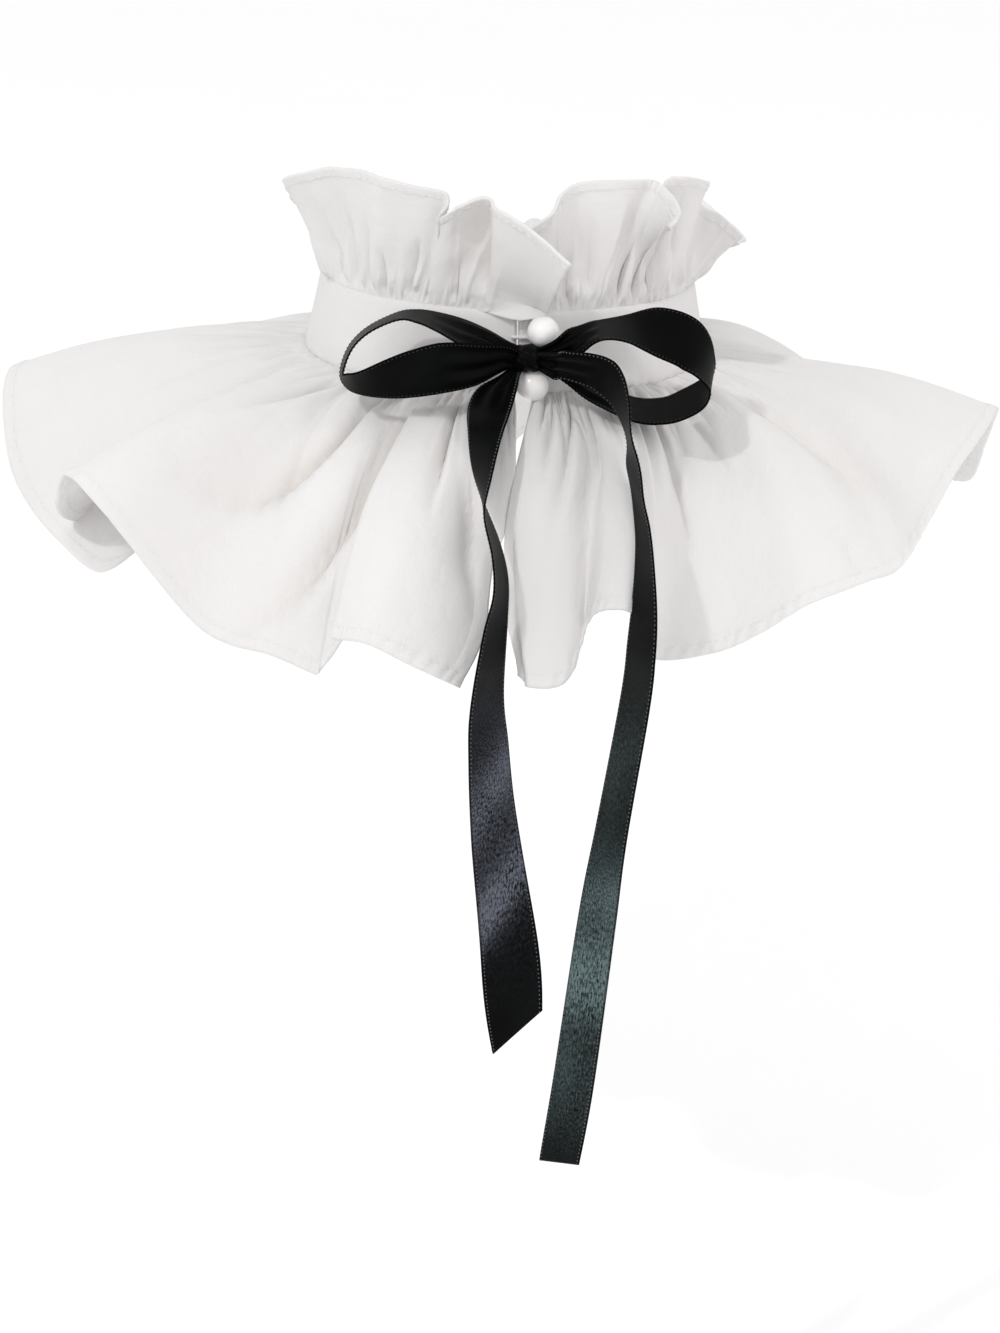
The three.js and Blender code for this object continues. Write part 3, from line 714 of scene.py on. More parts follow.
def line_at(surface: Grid, places: Grid, wanted: float) -> Grid:
    """A line over a grid of points.

    Args:
        surface: The points.
        places: Rising places of each row's points.
        wanted: The place of the line in every row.

    Returns:
        One point for each row.
    """
    pairs = zip(np.broadcast_to(places, surface.shape[:2]), surface)
    return np.array([[np.interp(wanted, place, row[:, axis]) for axis in range(3)] for place, row in pairs])


def capped_rings(name: str, rings: Grid, ends: Grid, cloth: Grid | None = None) -> bpy.types.Object:
    """Makes a closed surface through rings of points, with its faces outwards.

    Args:
        name: The piece's name.
        rings: Points by ring and by place round it.
        ends: The two points that close it.
        cloth: Flat cloth coordinates of all the points, the ends last.

    Returns:
        The object.
    """
    rows, sides = rings.shape[:2]
    number = np.arange(rows * sides).reshape(rows, sides)
    onward = np.roll(number, -1, axis=1)
    faces = np.stack([number[:-1], onward[:-1], onward[1:], number[1:]], -1).reshape(-1, 4).tolist()
    for near, far in zip(number[0], onward[0]):
        faces.append((rows * sides, far, near))
    for near, far in zip(number[-1], onward[-1]):
        faces.append((rows * sides + 1, near, far))
    piece = make_mesh(name, np.concatenate([rings.reshape(-1, 3), ends]), faces, cloth)
    mesh = piece.data
    mesh.calc_loop_triangles()
    corners = np.array([[mesh.vertices[i].co for i in face.vertices] for face in mesh.loop_triangles])
    if np.einsum("ij,ij->i", corners[:, 0], np.cross(corners[:, 1], corners[:, 2])).sum() < 0:
        mesh.flip_normals()
    return piece


@dataclass
class Wall:
    """A closed wall round a grid of points, with a rounded rim."""

    name: str
    middle: Grid
    thickness: Grid
    cloth: Grid
    roundness: float = 0.4
    hollow: Grid | None = None

    def build(self) -> bpy.types.Object:
        """Makes the wall.

        Returns:
            The object, with its flat cloth coordinates as a UV map.
        """
        rows, columns = self.middle.shape[:2]
        half = 0.5 * self.thickness[..., None] * outward(self.middle)
        count = rows * columns
        number = np.arange(count).reshape(rows, columns)
        front = np.stack([number[:-1, :-1], number[1:, :-1], number[1:, 1:], number[:-1, 1:]], -1)
        front = front.reshape(-1, 4)
        border = np.concatenate([number[:, 0], number[-1, 1:], number[-2::-1, -1], number[0, -2:0:-1]])
        along, onward = (unit(np.gradient(self.middle, axis=axis)) for axis in (0, 1))
        away = np.zeros_like(self.middle)
        away[0] -= along[0]
        away[-1] += along[-1]
        away[:, 0] -= onward[:, 0]
        away[:, -1] += onward[:, -1]
        rim = self.middle + unit(away) * self.thickness[..., None] * self.roundness
        faces_of = [(self.middle + side * half).reshape(-1, 3) for side in (1, -1)]
        ring = 2 * count + np.arange(len(border))
        following = np.roll(np.arange(len(border)), -1)
        near = np.stack([border, ring, ring[following], border[following]], -1)
        far = np.stack([ring, border + count, border[following] + count, ring[following]], -1)
        flat = self.cloth.reshape(-1, 2)
        deep = np.zeros(count) if self.hollow is None else self.hollow.reshape(-1)
        return make_mesh(
            self.name,
            np.concatenate([*faces_of, rim.reshape(-1, 3)[border]]),
            np.concatenate([front, front[:, ::-1] + count, near, far]),
            np.concatenate([flat, flat, flat[border]]),
            np.concatenate([deep, deep, deep[border]]),
        )


@dataclass(frozen=True)
class NeckForm:
    """The cone that the band follows, and the opening at its front."""

    lower_radius: float = 60.0
    upper_radius: float = 55.5
    height: float = 22.5
    opening: float = 0.8

    def radius(self, height: Grid | float) -> Grid | float:
        """The band's outer radius at a height."""
        return self.lower_radius + (self.upper_radius - self.lower_radius) * height / self.height

    def seam(self, share: Grid) -> Grid:
        """Angles round the neck for shares of the seam's length."""
        return self.opening + (360 - 2 * self.opening) * share

    @staticmethod
    def point(around: Grid, reach: Grid | float, height: Grid | float) -> Grid:
        """Points by angle from the front, distance from the axis and height."""
        turn = np.radians(around)
        return np.stack([-reach * np.sin(turn), -reach * np.cos(turn), height + 0 * turn], -1)


NECK = NeckForm()


@dataclass(frozen=True)
class Bend:
    """Where a hanging sheet bends: a share ahead to its edge, and out and up from there."""

    ahead: float
    out: float
    up: float


@dataclass(frozen=True)
class FrontEnds:
    """How the two front ends of a sheet are pulled aside on the way to its edge."""

    rows: Rows
    spread: float

    def shift(self, seam: Grid, v: Grid) -> Grid:
        """Their displacement over a grid.

        Args:
            seam: Angles round the neck.
            v: Shares of the way to the edge.

        Returns:
            Displacements in millimetres.
        """
        place = self.rows.place_of(v)
        moved = np.zeros((len(seam), len(v), 3))
        for side, from_end in (("left", seam - seam[0]), ("right", seam[-1] - seam)):
            near = np.exp(-(from_end / self.spread) ** 2)[:, None]
            for axis, column, sign in ((0, side, 1), (1, f"{side}_out", -1), (2, f"{side}_down", -1)):
                moved[..., axis] += sign * near * self.rows.read(place, column)
        return moved


@dataclass(frozen=True)
class Hanging:
    """A sheet that leaves a seam in one direction and bends over to its free edge."""

    edge_rows: Rows
    height_column: str
    height_sign: int
    edge_height: float
    seam_radius: float
    seam_height: float
    bend: Bend
    ends: FrontEnds
    step: float = 0.002

    def grid(self, u: Grid, v: Grid) -> Grid:
        """The sheet's points.

        Args:
            u: Shares of the seam's length.
            v: Shares of the way to the edge.

        Returns:
            A grid of points in millimetres.
        """
        seam = NECK.seam(u)
        place = self.edge_rows.place_of(seam)
        names = ("around", "reach", self.height_column, "swing", "sag")
        around, reach, height, swing, sag = (self.edge_rows.read(place, name) for name in names)
        start = NECK.point(seam, self.seam_radius, self.seam_height)
        edge = NECK.point(around, reach, self.edge_height + self.height_sign * height)
        stretch = np.linalg.norm(edge - start, axis=-1, keepdims=True)
        knee = start + (edge - start) * self.bend.ahead
        knee = knee + NECK.point(seam, 1, 0) * self.bend.out * stretch
        knee = knee + NECK.point(seam + 90, 1, 0) * swing[:, None]
        knee[:, 2] += self.bend.up * stretch[:, 0] - sag
        w = v[None, :, None]
        hung = (1 - w) ** 2 * start[:, None] + 2 * w * (1 - w) * knee[:, None] + w * w * edge[:, None]
        return hung + self.ends.shift(seam, v)

    def raised(self, u: Grid, v: Grid, relief: Grid) -> Grid:
        """The sheet's points, moved square to the sheet.

        Args:
            u: Shares of the seam's length.
            v: Shares of the way to the edge.
            relief: How far each point is moved.

        Returns:
            A grid of points in millimetres.
        """
        along = self.grid(u + self.step, v) - self.grid(u - self.step, v)
        onward = self.grid(u, v + self.step) - self.grid(u, v - self.step)
        return self.grid(u, v) + unit(np.cross(along, onward)) * relief[..., None]


def long_folds(rows: Rows, seam: Grid, v: Grid) -> Grid:
    """A table's long folds, each deepest half the way down.

    Args:
        rows: The table.
        seam: Angles round the neck.
        v: Shares of the way to the edge.

    Returns:
        Heights in millimetres.
    """
    share = 2 * v
    height = np.zeros((len(seam), len(v)))
    for fold in rows.each():
        away = (seam[:, None] - fold["seam"] - fold["drift"] * v) / fold["width"]
        height += fold["depth"] * np.exp(-away * away) * share * np.exp(1 - share)
    return height


def creases(rows: Rows, seam: Grid, v: Grid) -> Grid:
    """A table's creases, steep on one side and gentle on the other.

    Args:
        rows: The table.
        seam: Angles round the neck.
        v: Shares of the way to the edge.

    Returns:
        Heights in millimetres.
    """
    height = np.zeros((len(seam), len(v)))
    for crease in rows.each():
        run = (v - crease["start"]) / (crease["end"] - crease["start"])
        along = np.clip(run, 0, 1)
        away = seam[:, None] - crease["seam"] - crease["drift"] * along ** crease.get("late", 1)
        side = np.where(away < 0, crease["steep"], crease["gentle"]) * (0.6 + 0.8 * along)
        window = smoothstep(0, 0.25, run) * (1 - smoothstep(0.5, 1, run))
        height += crease["depth"] * np.exp(-np.abs(away / side) ** CREASE_SHARPNESS) * window
    return height


@dataclass(frozen=True)
class Puckers:
    """One level of gathers: how many go round, how deep, and where they rise and fade."""

    count: float
    depth: float
    rise: float
    fade: float
    seed: int
    sharpness: float = 0.8
    wander: float = 2.2
    lean: float = 0.06
    uneven: float = 0.45

    def relief(self, seam: Grid, down: Grid) -> Grid:
        """Their height over a grid.

        Args:
            seam: Angles round the neck.
            down: Distances from the seam in millimetres, a grid.

        Returns:
            Heights in millimetres.
        """
        turns = seam[:, None] * self.count / 360
        wander = noise(turns * 0.45, down / 30, self.seed) * self.wander
        strength = 1 - self.uneven + self.uneven * noise(turns * 0.3 + 9, down / 40, self.seed + 1)
        lean = noise(turns * 0.2 + 4, down / 50, self.seed + 2) * down * self.lean
        phase = TURN * turns + wander + lean
        crest = 2 * np.abs(np.sin(0.5 * phase + 0.2 * np.sin(phase))) ** 0.75 - 1
        wave = self.sharpness * crest + (1 - self.sharpness) * np.sin(phase)
        reach = self.fade * (0.75 + 0.5 * noise(turns * 0.37 + 5, 0 * down, self.seed + 3))
        window = smoothstep(0, self.rise, down) * (1 - smoothstep(0.25 * reach, reach, down))
        return self.depth * strength * wave * window


@dataclass(frozen=True)
class Fan:
    """Fine straight creases that fan out from a seam at uneven places."""

    count: int
    shortest: float
    longest: float
    width: float
    depth: float
    seed: int
    nearby: float = 12.0
    start_length: float = 2.5

    def relief(self, seam: Grid, down: Grid) -> Grid:
        """Their height over a grid.

        Args:
            seam: Angles round the neck.
            down: Distances from the seam in millimetres, a grid.

        Returns:
            Heights in millimetres, below 0 where a crease runs.
        """
        dice = np.random.default_rng(self.seed)
        height = np.zeros_like(down)
        for index in range(self.count):
            share = (index + dice.uniform(0.05, 0.95)) / self.count
            middle = seam[0] + (seam[-1] - seam[0]) * share
            length = self.shortest + (self.longest - self.shortest) * dice.random() ** 2.2
            width, lean = self.width * dice.uniform(0.6, 1.6), dice.normal(0, 0.07)
            start, depth = dice.uniform(0, 4), self.depth * dice.uniform(0.4, 1.3)
            near = np.abs(seam - middle) < self.nearby
            away = (seam[near, None] - middle - lean * down[near]) / width
            window = smoothstep(start, start + self.start_length, down[near])
            window = window * (1 - smoothstep(0.3 * length, length, down[near]))
            height[near] -= depth * np.exp(-np.abs(away) ** CREASE_SHARPNESS) * window
        return height


@dataclass(frozen=True)
class Crumples:
    """Soft dents of three sizes over the cloth away from its seam, in millimetres."""

    depth: float
    broad: float = 26
    fine: float = 9
    ridges: float = 17
    clear: tuple[float, float] = (3, 14)

    def relief(self, along: Grid, down: Grid, seed: int) -> Grid:
        """Their height over a grid.

        Args:
            along: Distances along the flat cloth.
            down: Distances from the seam.
            seed: Seed of the noise.

        Returns:
            Heights.
        """
        broad = noise(along / self.broad + down / 60, down / 34, seed)
        fine = noise(along / self.fine - down / 20, down / 12, seed + 1)
        ridge = 1 - np.abs(noise(along / self.ridges + 3, down / 15 + along / 60, seed + 2)) * 2
        away = smoothstep(*self.clear, down)
        return self.depth * away * (1.2 * broad + 0.3 * fine + 0.35 * np.maximum(ridge, 0))


@dataclass(frozen=True)
class Hem:
    """A turned and stitched hem with the slanting ripples that it gets, in millimetres."""

    width: float
    stitch: float
    extra: float = 0.5
    fold: tuple[float, float] = (-0.35, 0.15)
    groove: float = 0.35
    ripple: float = 0.13
    pitch: float = 0.75
    slant: float = 0.6
    patch: float = 21

    def ripples(self, along: Grid, from_edge: Grid, seed: int) -> Grid:
        """The height of the ripples over a grid.

        Args:
            along: Distances along the flat cloth.
            from_edge: Distances from the edge.
            seed: Seed of their wander, and the next one of their strength.

        Returns:
            Heights.
        """
        wander = 3 * noise(along / 9, 0 * from_edge, seed)
        rope = np.sin(along / self.pitch + from_edge * self.slant + wander)
        near_edge = 1 - smoothstep(self.width * 0.8, self.width * 1.4, from_edge)
        uneven = 0.6 + 0.6 * noise(along / self.patch + 7, 0 * from_edge, seed + 1)
        return self.ripple * uneven * near_edge * rope

    def thickening(self, nearest: Grid) -> Grid:
        """What the turned cloth adds to the sheet's thickness.

        Args:
            nearest: Distances from the nearest edge.

        Returns:
            Added thicknesses, less along the stitches.
        """
        turned = 1 - smoothstep(*(self.width + side for side in self.fold), nearest)
        sewn = np.exp(-((nearest - self.stitch) / self.groove) ** 2)
        return self.extra * turned * (1 - 0.4 * sewn)


@dataclass
class GatheredSheet:
    """A gathered cotton sheet with turned hems, standing up or hanging from a seam of the band."""

    name: str
    sheet: Hanging
    folds: Rows
    fold_sign: int
    crease_rows: Rows
    puckers: tuple[Puckers | Fan, ...]
    flat_width: float
    flat_length: float
    shares: Grid
    hem: Hem
    crumples: Crumples
    seed: int
    calm: float = 0.01
    calm_until: tuple[float, float] = (0.12, 0.4)
    across: int = 1200
    front_density: float = 0.45
    thickness: float = 0.45
    # crease depth at which the painted shade is full
    deepest: float = 4.5
    stitch_lift: float = 0.04
    along: Grid = field(init=False)
    hollow: Grid = field(init=False)
    grid: Grid = field(init=False)
    from_edge: Grid = field(init=False)
    thick: Grid = field(init=False)

    def relief(self, u: Grid, v: Grid) -> Grid:
        """Folds, creases, puckers, soft crumples and the hem's ripples over the sheet.

        Args:
            u: Shares of the seam's length.
            v: Shares of the way to the edge.

        Returns:
            Heights in millimetres.
        """
        seam = NECK.seam(u)
        down = travelled(self.sheet.grid(u, v), 1)
        sharp = creases(self.crease_rows, seam, v)
        for level in self.puckers:
            sharp = sharp + level.relief(seam, down)
        # painted shade mask: the further a point lies into a crease, the more the cotton's colour darkens
        # there
        self.hollow = np.clip(-self.fold_sign * sharp / self.deepest, 0, 1) ** 2
        height = self.fold_sign * long_folds(self.folds, seam, v) + sharp
        smooth_end = np.exp(-((seam[:, None] - seam[0]) / self.calm) ** 4)
        height = height * (1 - smooth_end * (1 - smoothstep(*self.calm_until, v)))
        along = u[:, None] * self.flat_length * 1000
        height = height + self.crumples.relief(along, down, self.seed)
        return height + self.hem.ripples(along, down[:, -1:] - down, self.seed + 3)

    def shape(self) -> None:
        """Works out the sheet's grid and its thickness, thicker where the hems are turned."""
        even = np.linspace(0, 1, self.across)
        self.along = even - self.front_density * np.sin(TURN * even) / TURN
        self.grid = self.sheet.raised(self.along, self.shares, self.relief(self.along, self.shares))
        self.from_edge = travelled(self.grid[:, ::-1], 1)[:, ::-1]
        from_left = travelled(self.grid, 0)
        from_side = np.minimum(from_left, from_left[-1:] - from_left)
        self.thick = self.thickness + self.hem.thickening(np.minimum(self.from_edge, from_side))

    def stitch_lines(self) -> list[Grid]:
        """The hem's stitch line on either face.

        Returns:
            Two rows of points.
        """
        lift = outward(self.grid) * (0.5 * self.thick + self.stitch_lift)[..., None]
        return [
            line_at(self.grid + side * lift, -self.from_edge, -self.hem.stitch)[3:-3] for side in (1, -1)
        ]

    def build(self, cotton: bpy.types.Material, thread: bpy.types.Material) -> bpy.types.Object:
        """Args:
            cotton: The cloth's material.
            thread: The stitches' material.

        Returns:
            The sheet.
        """
        self.shape()
        flat = flat_grid(self.along * self.flat_length, self.shares * self.flat_width)
        piece = Wall(f"cloth_{self.name}", self.grid, self.thick, flat, hollow=self.hollow).build()
        declare(piece, cotton, self.name)
        stitches = Stitches(f"{piece.name}_stitches", self.stitch_lines()).build(thread)
        declare(stitches)
        return piece


class Repeater(Nodes):
    """A Geometry Nodes tree, and what turns its result into a plain mesh."""

    def __init__(self, name: str) -> None:
        """Starts a tree with a geometry input and output.

        Args:
            name: The tree's name.
        """
        super().__init__(bpy.data.node_groups.new(name, "GeometryNodeTree"))
        for way in ("INPUT", "OUTPUT"):
            self.tree.interface.new_socket("Geometry", in_out=way, socket_type="NodeSocketGeometry")
        self.start = self.add("NodeGroupInput")
        self.end = self.add("NodeGroupOutput")
        self.values: dict[str, float] = {}

    def number(self, name: str, value: float) -> bpy.types.NodeSocket:
        """Adds a named length input.

        Args:
            name: Its name.
            value: Its value.

        Returns:
            Its socket inside the tree.
        """
        made = self.tree.interface.new_socket(name, in_out="INPUT", socket_type="NodeSocketFloat")
        self.values[made.identifier] = value
        return self.start.outputs[name]

    def link(self, kind: str, inputs: dict | None = None, **settings: str) -> bpy.types.NodeSocket:
        """Adds a node and returns its first output."""
        return self.add(kind, settings, inputs).outputs[0]

    def run(self, source: bpy.types.Object, geometry: bpy.types.NodeSocket,
            material: bpy.types.Material) -> bpy.types.Object:
        """Runs the tree on an object.

        Args:
            source: The object that the tree reads, which is removed.
            geometry: The instances that the tree makes.
            material: The material that they get.

        Returns:
            A plain mesh object of the source's name.
        """
        real = self.link("GeometryNodeRealizeInstances", {0: geometry})
        dressed = self.link("GeometryNodeSetMaterial", {"Geometry": real, "Material": material})
        self.tree.links.new(dressed, self.end.inputs[0])
        modifier = source.modifiers.new("repeat", "NODES")
        modifier.node_group = self.tree
        for identifier, value in self.values.items():
            modifier[identifier] = value
        graph = bpy.context.evaluated_depsgraph_get()
        mesh = bpy.data.meshes.new_from_object(source.evaluated_get(graph), depsgraph=graph)
        name = source.name
        source.modifiers.remove(modifier)
        bpy.data.objects.remove(source)
        mesh.polygons.foreach_set("use_smooth", [True] * len(mesh.polygons))
        return add_object(name, mesh)


@dataclass
class Stitches:
    """Stitches at even steps along lines, in millimetres."""

    name: str
    lines: Sequence[Grid]
    pitch: float = 2.6
    length: float = 1.9
    gauge: float = 0.14

    def guide(self) -> bpy.types.Object:
        """Makes the lines.

        Returns:
            An object whose mesh edges run along them.
        """
        points, edges = [], []
        for line in self.lines:
            first = len(points)
            points += (line * MM).tolist()
            edges += [(first + step, first + step + 1) for step in range(len(line) - 1)]
        mesh = bpy.data.meshes.new(self.name)
        mesh.from_pydata(points, edges, [])
        return add_object(self.name, mesh)

    def build(self, thread: bpy.types.Material) -> bpy.types.Object:
        """Makes the stitches.

        Args:
            thread: Their material.

        Returns:
            All of them as one mesh.
        """
        tools = Repeater(self.name)
        pitch = tools.number("Pitch", self.pitch * MM)
        gauge = tools.number("Gauge", self.gauge * MM)
        length = tools.number("Length", self.length * MM)
        curve = tools.link("GeometryNodeMeshToCurve", {0: tools.start.outputs[0]})
        spaced = tools.link("GeometryNodeResampleCurve", {"Curve": curve, "Length": pitch}, mode="LENGTH")
        tangent = tools.link("GeometryNodeInputTangent")
        turn = tools.link("FunctionNodeAlignRotationToVector", {"Vector": tangent}, axis="Z")
        ball = tools.link("GeometryNodeMeshUVSphere", {"Segments": 6, "Rings": 4, "Radius": 1.0})
        half = tools.link("ShaderNodeMath", {0: length, 1: 0.5}, operation="MULTIPLY")
        size = tools.link("ShaderNodeCombineXYZ", {0: gauge, 1: gauge, 2: half})
        shaped = tools.link("GeometryNodeTransform", {"Geometry": ball, "Scale": size})
        inputs = {"Points": spaced, "Instance": shaped, "Rotation": turn}
        return tools.run(self.guide(), tools.link("GeometryNodeInstanceOnPoints", inputs), thread)


def rows_of_shares(counts: tuple[int, int, int], seam_share: float, edge_share: float) -> Grid:
    """Shares from a seam to an edge, closer together at both.

    Args:
        counts: Rows in the stretch by the seam, between, and in the stretch by the edge.
        seam_share: Where the first stretch ends.
        edge_share: How much of the length the last stretch takes.

    Returns:
        Rising shares from 0 to 1.
    """
    seam, middle, edge = counts
    return np.concatenate([
        np.linspace(0, seam_share, seam, endpoint=False),
        np.linspace(seam_share, 1 - edge_share, middle, endpoint=False),
        np.linspace(1 - edge_share, 1, edge),
    ])


def flounce() -> GatheredSheet:
    """The shoulder flounce's sizes.

    Returns:
        The sheet that hangs from the band's lower seam.
    """
    return GatheredSheet(
        name="shoulder_flounce",
        sheet=Hanging(
            FLOUNCE_HEM, height_column="drop", height_sign=-1, edge_height=0.0,
            seam_radius=58.7, seam_height=-0.1,
            bend=Bend(ahead=0.15, out=0.34, up=0.06), ends=FrontEnds(FLOUNCE_ENDS, spread=8),
        ),
        folds=FLOUNCE_FOLDS,
        fold_sign=1,
        crease_rows=FLOUNCE_CREASES,
        puckers=(
            Puckers(count=108, depth=0.75, rise=0.5, fade=11, seed=11),
            Puckers(count=171, depth=0.5, rise=0.3, fade=7, seed=101),
            Puckers(count=49, depth=1.5, rise=4, fade=36, seed=21),
            Puckers(count=23, depth=1.0, rise=14, fade=72, seed=31),
            Fan(count=210, shortest=5, longest=42, width=0.5, depth=1.0, seed=91),
            Fan(count=54, shortest=25, longest=92, width=0.9, depth=1.1, seed=92),
        ),
        flat_width=0.095,
        flat_length=0.86,
        shares=rows_of_shares((10, 19, 9), 0.12, 0.06),
        hem=Hem(width=3.6, stitch=3.1),
        crumples=Crumples(0.35),
        seed=41,
    )


def ruffle() -> GatheredSheet:
    """The top ruffle's sizes.

    Returns:
        The sheet that stands on the band's upper seam.
    """
    return GatheredSheet(
        name="top_ruffle",
        sheet=Hanging(
            RUFFLE_EDGE, height_column="rise", height_sign=1, edge_height=NECK.height,
            seam_radius=54.5, seam_height=NECK.height - 0.2,
            bend=Bend(ahead=0.3, out=0, up=0.24), ends=FrontEnds(RUFFLE_ENDS, spread=7),
        ),
        folds=RUFFLE_FOLDS,
        fold_sign=-1,
        crease_rows=RUFFLE_CREASES,
        puckers=(
            Puckers(count=104, depth=0.65, rise=0.5, fade=9, seed=51),
            Puckers(count=157, depth=0.42, rise=0.3, fade=6, seed=103),
            Puckers(count=40, depth=1.5, rise=4, fade=27, seed=61),
            Fan(count=190, shortest=4, longest=24, width=0.5, depth=0.9, seed=93),
            Fan(count=36, shortest=12, longest=38, width=0.8, depth=0.9, seed=94),
        ),
        flat_width=0.04,
        flat_length=0.52,
        shares=rows_of_shares((12, 16, 10), 0.2, 0.12),
        hem=Hem(width=2.6, stitch=2.1),
        crumples=Crumples(0.3),
        seed=71,
        calm=8.0,
    )


@dataclass
class NeckBand:
    """The doubled band round the neck, softly padded by the seams inside it."""

    thickness: float = 2.0
    thin_edge: float = 0.62
    across: int = 720
    down: int = 22
    ripple: float = 0.22
    drawn_in: float = 2.2
    rounding: float = 1.1
    flat_width: float = 0.0225
    flat_length: float = 0.37

    def build(self, cotton: bpy.types.Material) -> bpy.types.Object:
        """Args:
            cotton: Its material.

        Returns:
            The band.
        """
        u, v = np.linspace(0, 1, self.across), np.linspace(0, 1, self.down)
        seam = NECK.seam(u)[:, None] + 0 * v
        height = v * NECK.height + 0 * seam
        from_seam = np.minimum(height, NECK.height - height)
        drawn = np.exp(-from_seam / self.drawn_in) * np.sin(seam * 1.55 + 2 * noise(seam / 9, 0 * seam, 5))
        soft = noise(seam / 14, height / 16, 6) + 0.4 * noise(seam / 5, height / 7, 7)
        reach = NECK.radius(height) - self.thickness / 2 + self.ripple * (0.5 * drawn + 0.6 * soft)
        round_over = np.sqrt(np.clip(from_seam / self.rounding, 0, 1))
        thick = self.thickness * (self.thin_edge + (1 - self.thin_edge) * round_over)
        flat = flat_grid(u * self.flat_length, v * self.flat_width)
        piece = Wall("cloth_neck_band", NECK.point(seam, reach, height), thick, flat, 0.3).build()
        declare(piece, cotton, "neck_band")
        return piece


@dataclass
class Ribbon:
    """A length of satin ribbon through its sections, pleated where it is drawn into the knot."""

    name: str
    rows: Rows
    seed: int
    flat_length: float
    slant: float = 0.0
    steps: int = 260
    across: int = 26
    thickness: float = 0.45
    full_width: float = 15.0
    pleats: float = 2.5
    pleat_depth: float = 0.2
    sway: float = 0.35
    dot_inset: float = 0.55
    dot_lift: float = 0.02
    middle: Grid = field(init=False)

    def shape(self) -> None:
        """Works out the ribbon's middle surface."""
        u, v = np.linspace(0, 1, self.steps)[:, None], np.linspace(0, 1, self.across)[None, :]
        place = u[:, 0] * (len(self.rows.values) - 1)
        x, y, z, roll, tip, width = (self.rows.read(place, name) for name in RIBBON_COLUMNS.split())
        roll, tip = np.radians(roll), np.radians(tip)
        side = np.stack([np.cos(tip) * np.cos(roll), -np.sin(tip), np.cos(tip) * np.sin(roll)], -1)
        centre = np.stack([x, y, z], -1)
        self.middle = centre[:, None] + side[:, None] * ((v - 0.5) * width[:, None])[..., None]
        self.middle[..., 2] -= self.slant * (v - 0.5) * u ** 8
        spare = np.sqrt(np.maximum(self.full_width ** 2 - width ** 2, 0))[:, None] / (2 * self.pleats)
        relief = self.pleat_depth * spare * np.cos(TURN * self.pleats * v + self.seed)
        along = u * self.flat_length * 1000
        swaying = noise(along / 28 + 0 * v, v / 1.4 + 0 * along, self.seed)
        relief = relief + self.sway * (1 - spare / spare.max()) * swaying
        self.middle = self.middle + outward(self.middle) * relief[..., None]

    def edge_lines(self) -> list[Grid]:
        """Lines just inside both woven edges on both faces.

        Returns:
            Four rows of points.
        """
        lift = outward(self.middle) * (self.thickness / 2 + self.dot_lift)
        places = np.linspace(0, 1, self.across)
        inset = self.dot_inset / self.full_width
        return [
            line_at(self.middle + face * lift, places, share)[self.steps // 12:]
            for face in (1, -1) for share in (inset, 1 - inset)
        ]

    def build(self, satin: bpy.types.Material, thread: bpy.types.Material) -> bpy.types.Object:
        """Args:
            satin: The ribbon's material.
            thread: The dots' material.

        Returns:
            The ribbon.
        """
        self.shape()
        flat_width = self.full_width * MM
        along, across = np.linspace(0, self.flat_length, self.steps), np.linspace(0, flat_width, self.across)
        flat = flat_grid(along, across)
        thick = np.full((self.steps, self.across), self.thickness)
        piece = Wall(f"satin_{self.name}", self.middle, thick, flat, 0.5).build()
        declare(piece, satin, self.name)
        dots = Stitches(f"{piece.name}_edge_dots", self.edge_lines(), pitch=1.2, length=0.5, gauge=0.2)
        dots = declare(dots.build(thread))
        return piece


@dataclass
class BowKnot:
    """The knot: ribbon wrapped round the bow's middle, in slanting pleats."""

    x: float = 2.6
    z: float = 11.5
    width: float = 11.0
    height: float = 7.4
    depth: float = 12.3
    gap: float = 0.3
    squareness: float = 0.8
    pleats: float = 2.6
    fine_pleats: float = 4.3
    pleat_depth: float = 0.5
    across: int = 72
    around: int = 96

    def build(self, satin: bpy.types.Material) -> bpy.types.Object:
        """Args:
            satin: Its material.

        Returns:
            The knot.
        """
        side = np.linspace(-math.pi / 2, math.pi / 2, self.across)[1:-1, None]
        turn = np.linspace(0, TURN, self.around, endpoint=False)[None, :]
        along = np.sign(np.sin(side)) * np.abs(np.sin(side)) ** self.squareness + 0 * turn
        girth = np.cos(side) ** self.squareness + 0 * turn
        crease = np.abs(np.sin(math.pi * self.pleats * (along / 2 + 0.5 * np.sin(turn)) + 0.4))
        crease = crease + 0.4 * np.abs(np.sin(math.pi * self.fine_pleats * along / 2 + 1.1 * np.cos(turn)))
        sink = self.pleat_depth * (1 - crease) * np.minimum(1, girth * 1.6)
        back = -(NECK.radius(self.z) + self.gap + self.depth / 2)
        rings = np.stack([
            self.x + self.width / 2 * along,
            back + (self.depth / 2 * girth - sink) * np.cos(turn),
            self.z + (self.height / 2 * girth - sink) * np.sin(turn),
        ], -1)
        ends = np.array([[self.x + way * self.width / 2, back, self.z] for way in (-1, 1)])
        wrap = np.linspace(0, math.pi * self.height * MM, self.around)[None, :] + 0 * along
        flat = np.stack([wrap, (along + 1) * self.width * MM / 2], -1).reshape(-1, 2)
        piece = capped_rings("satin_bow_knot", rings, ends, np.concatenate([flat, flat[:1], flat[-1:]]))
        return declare(piece, satin, "bow_knot")


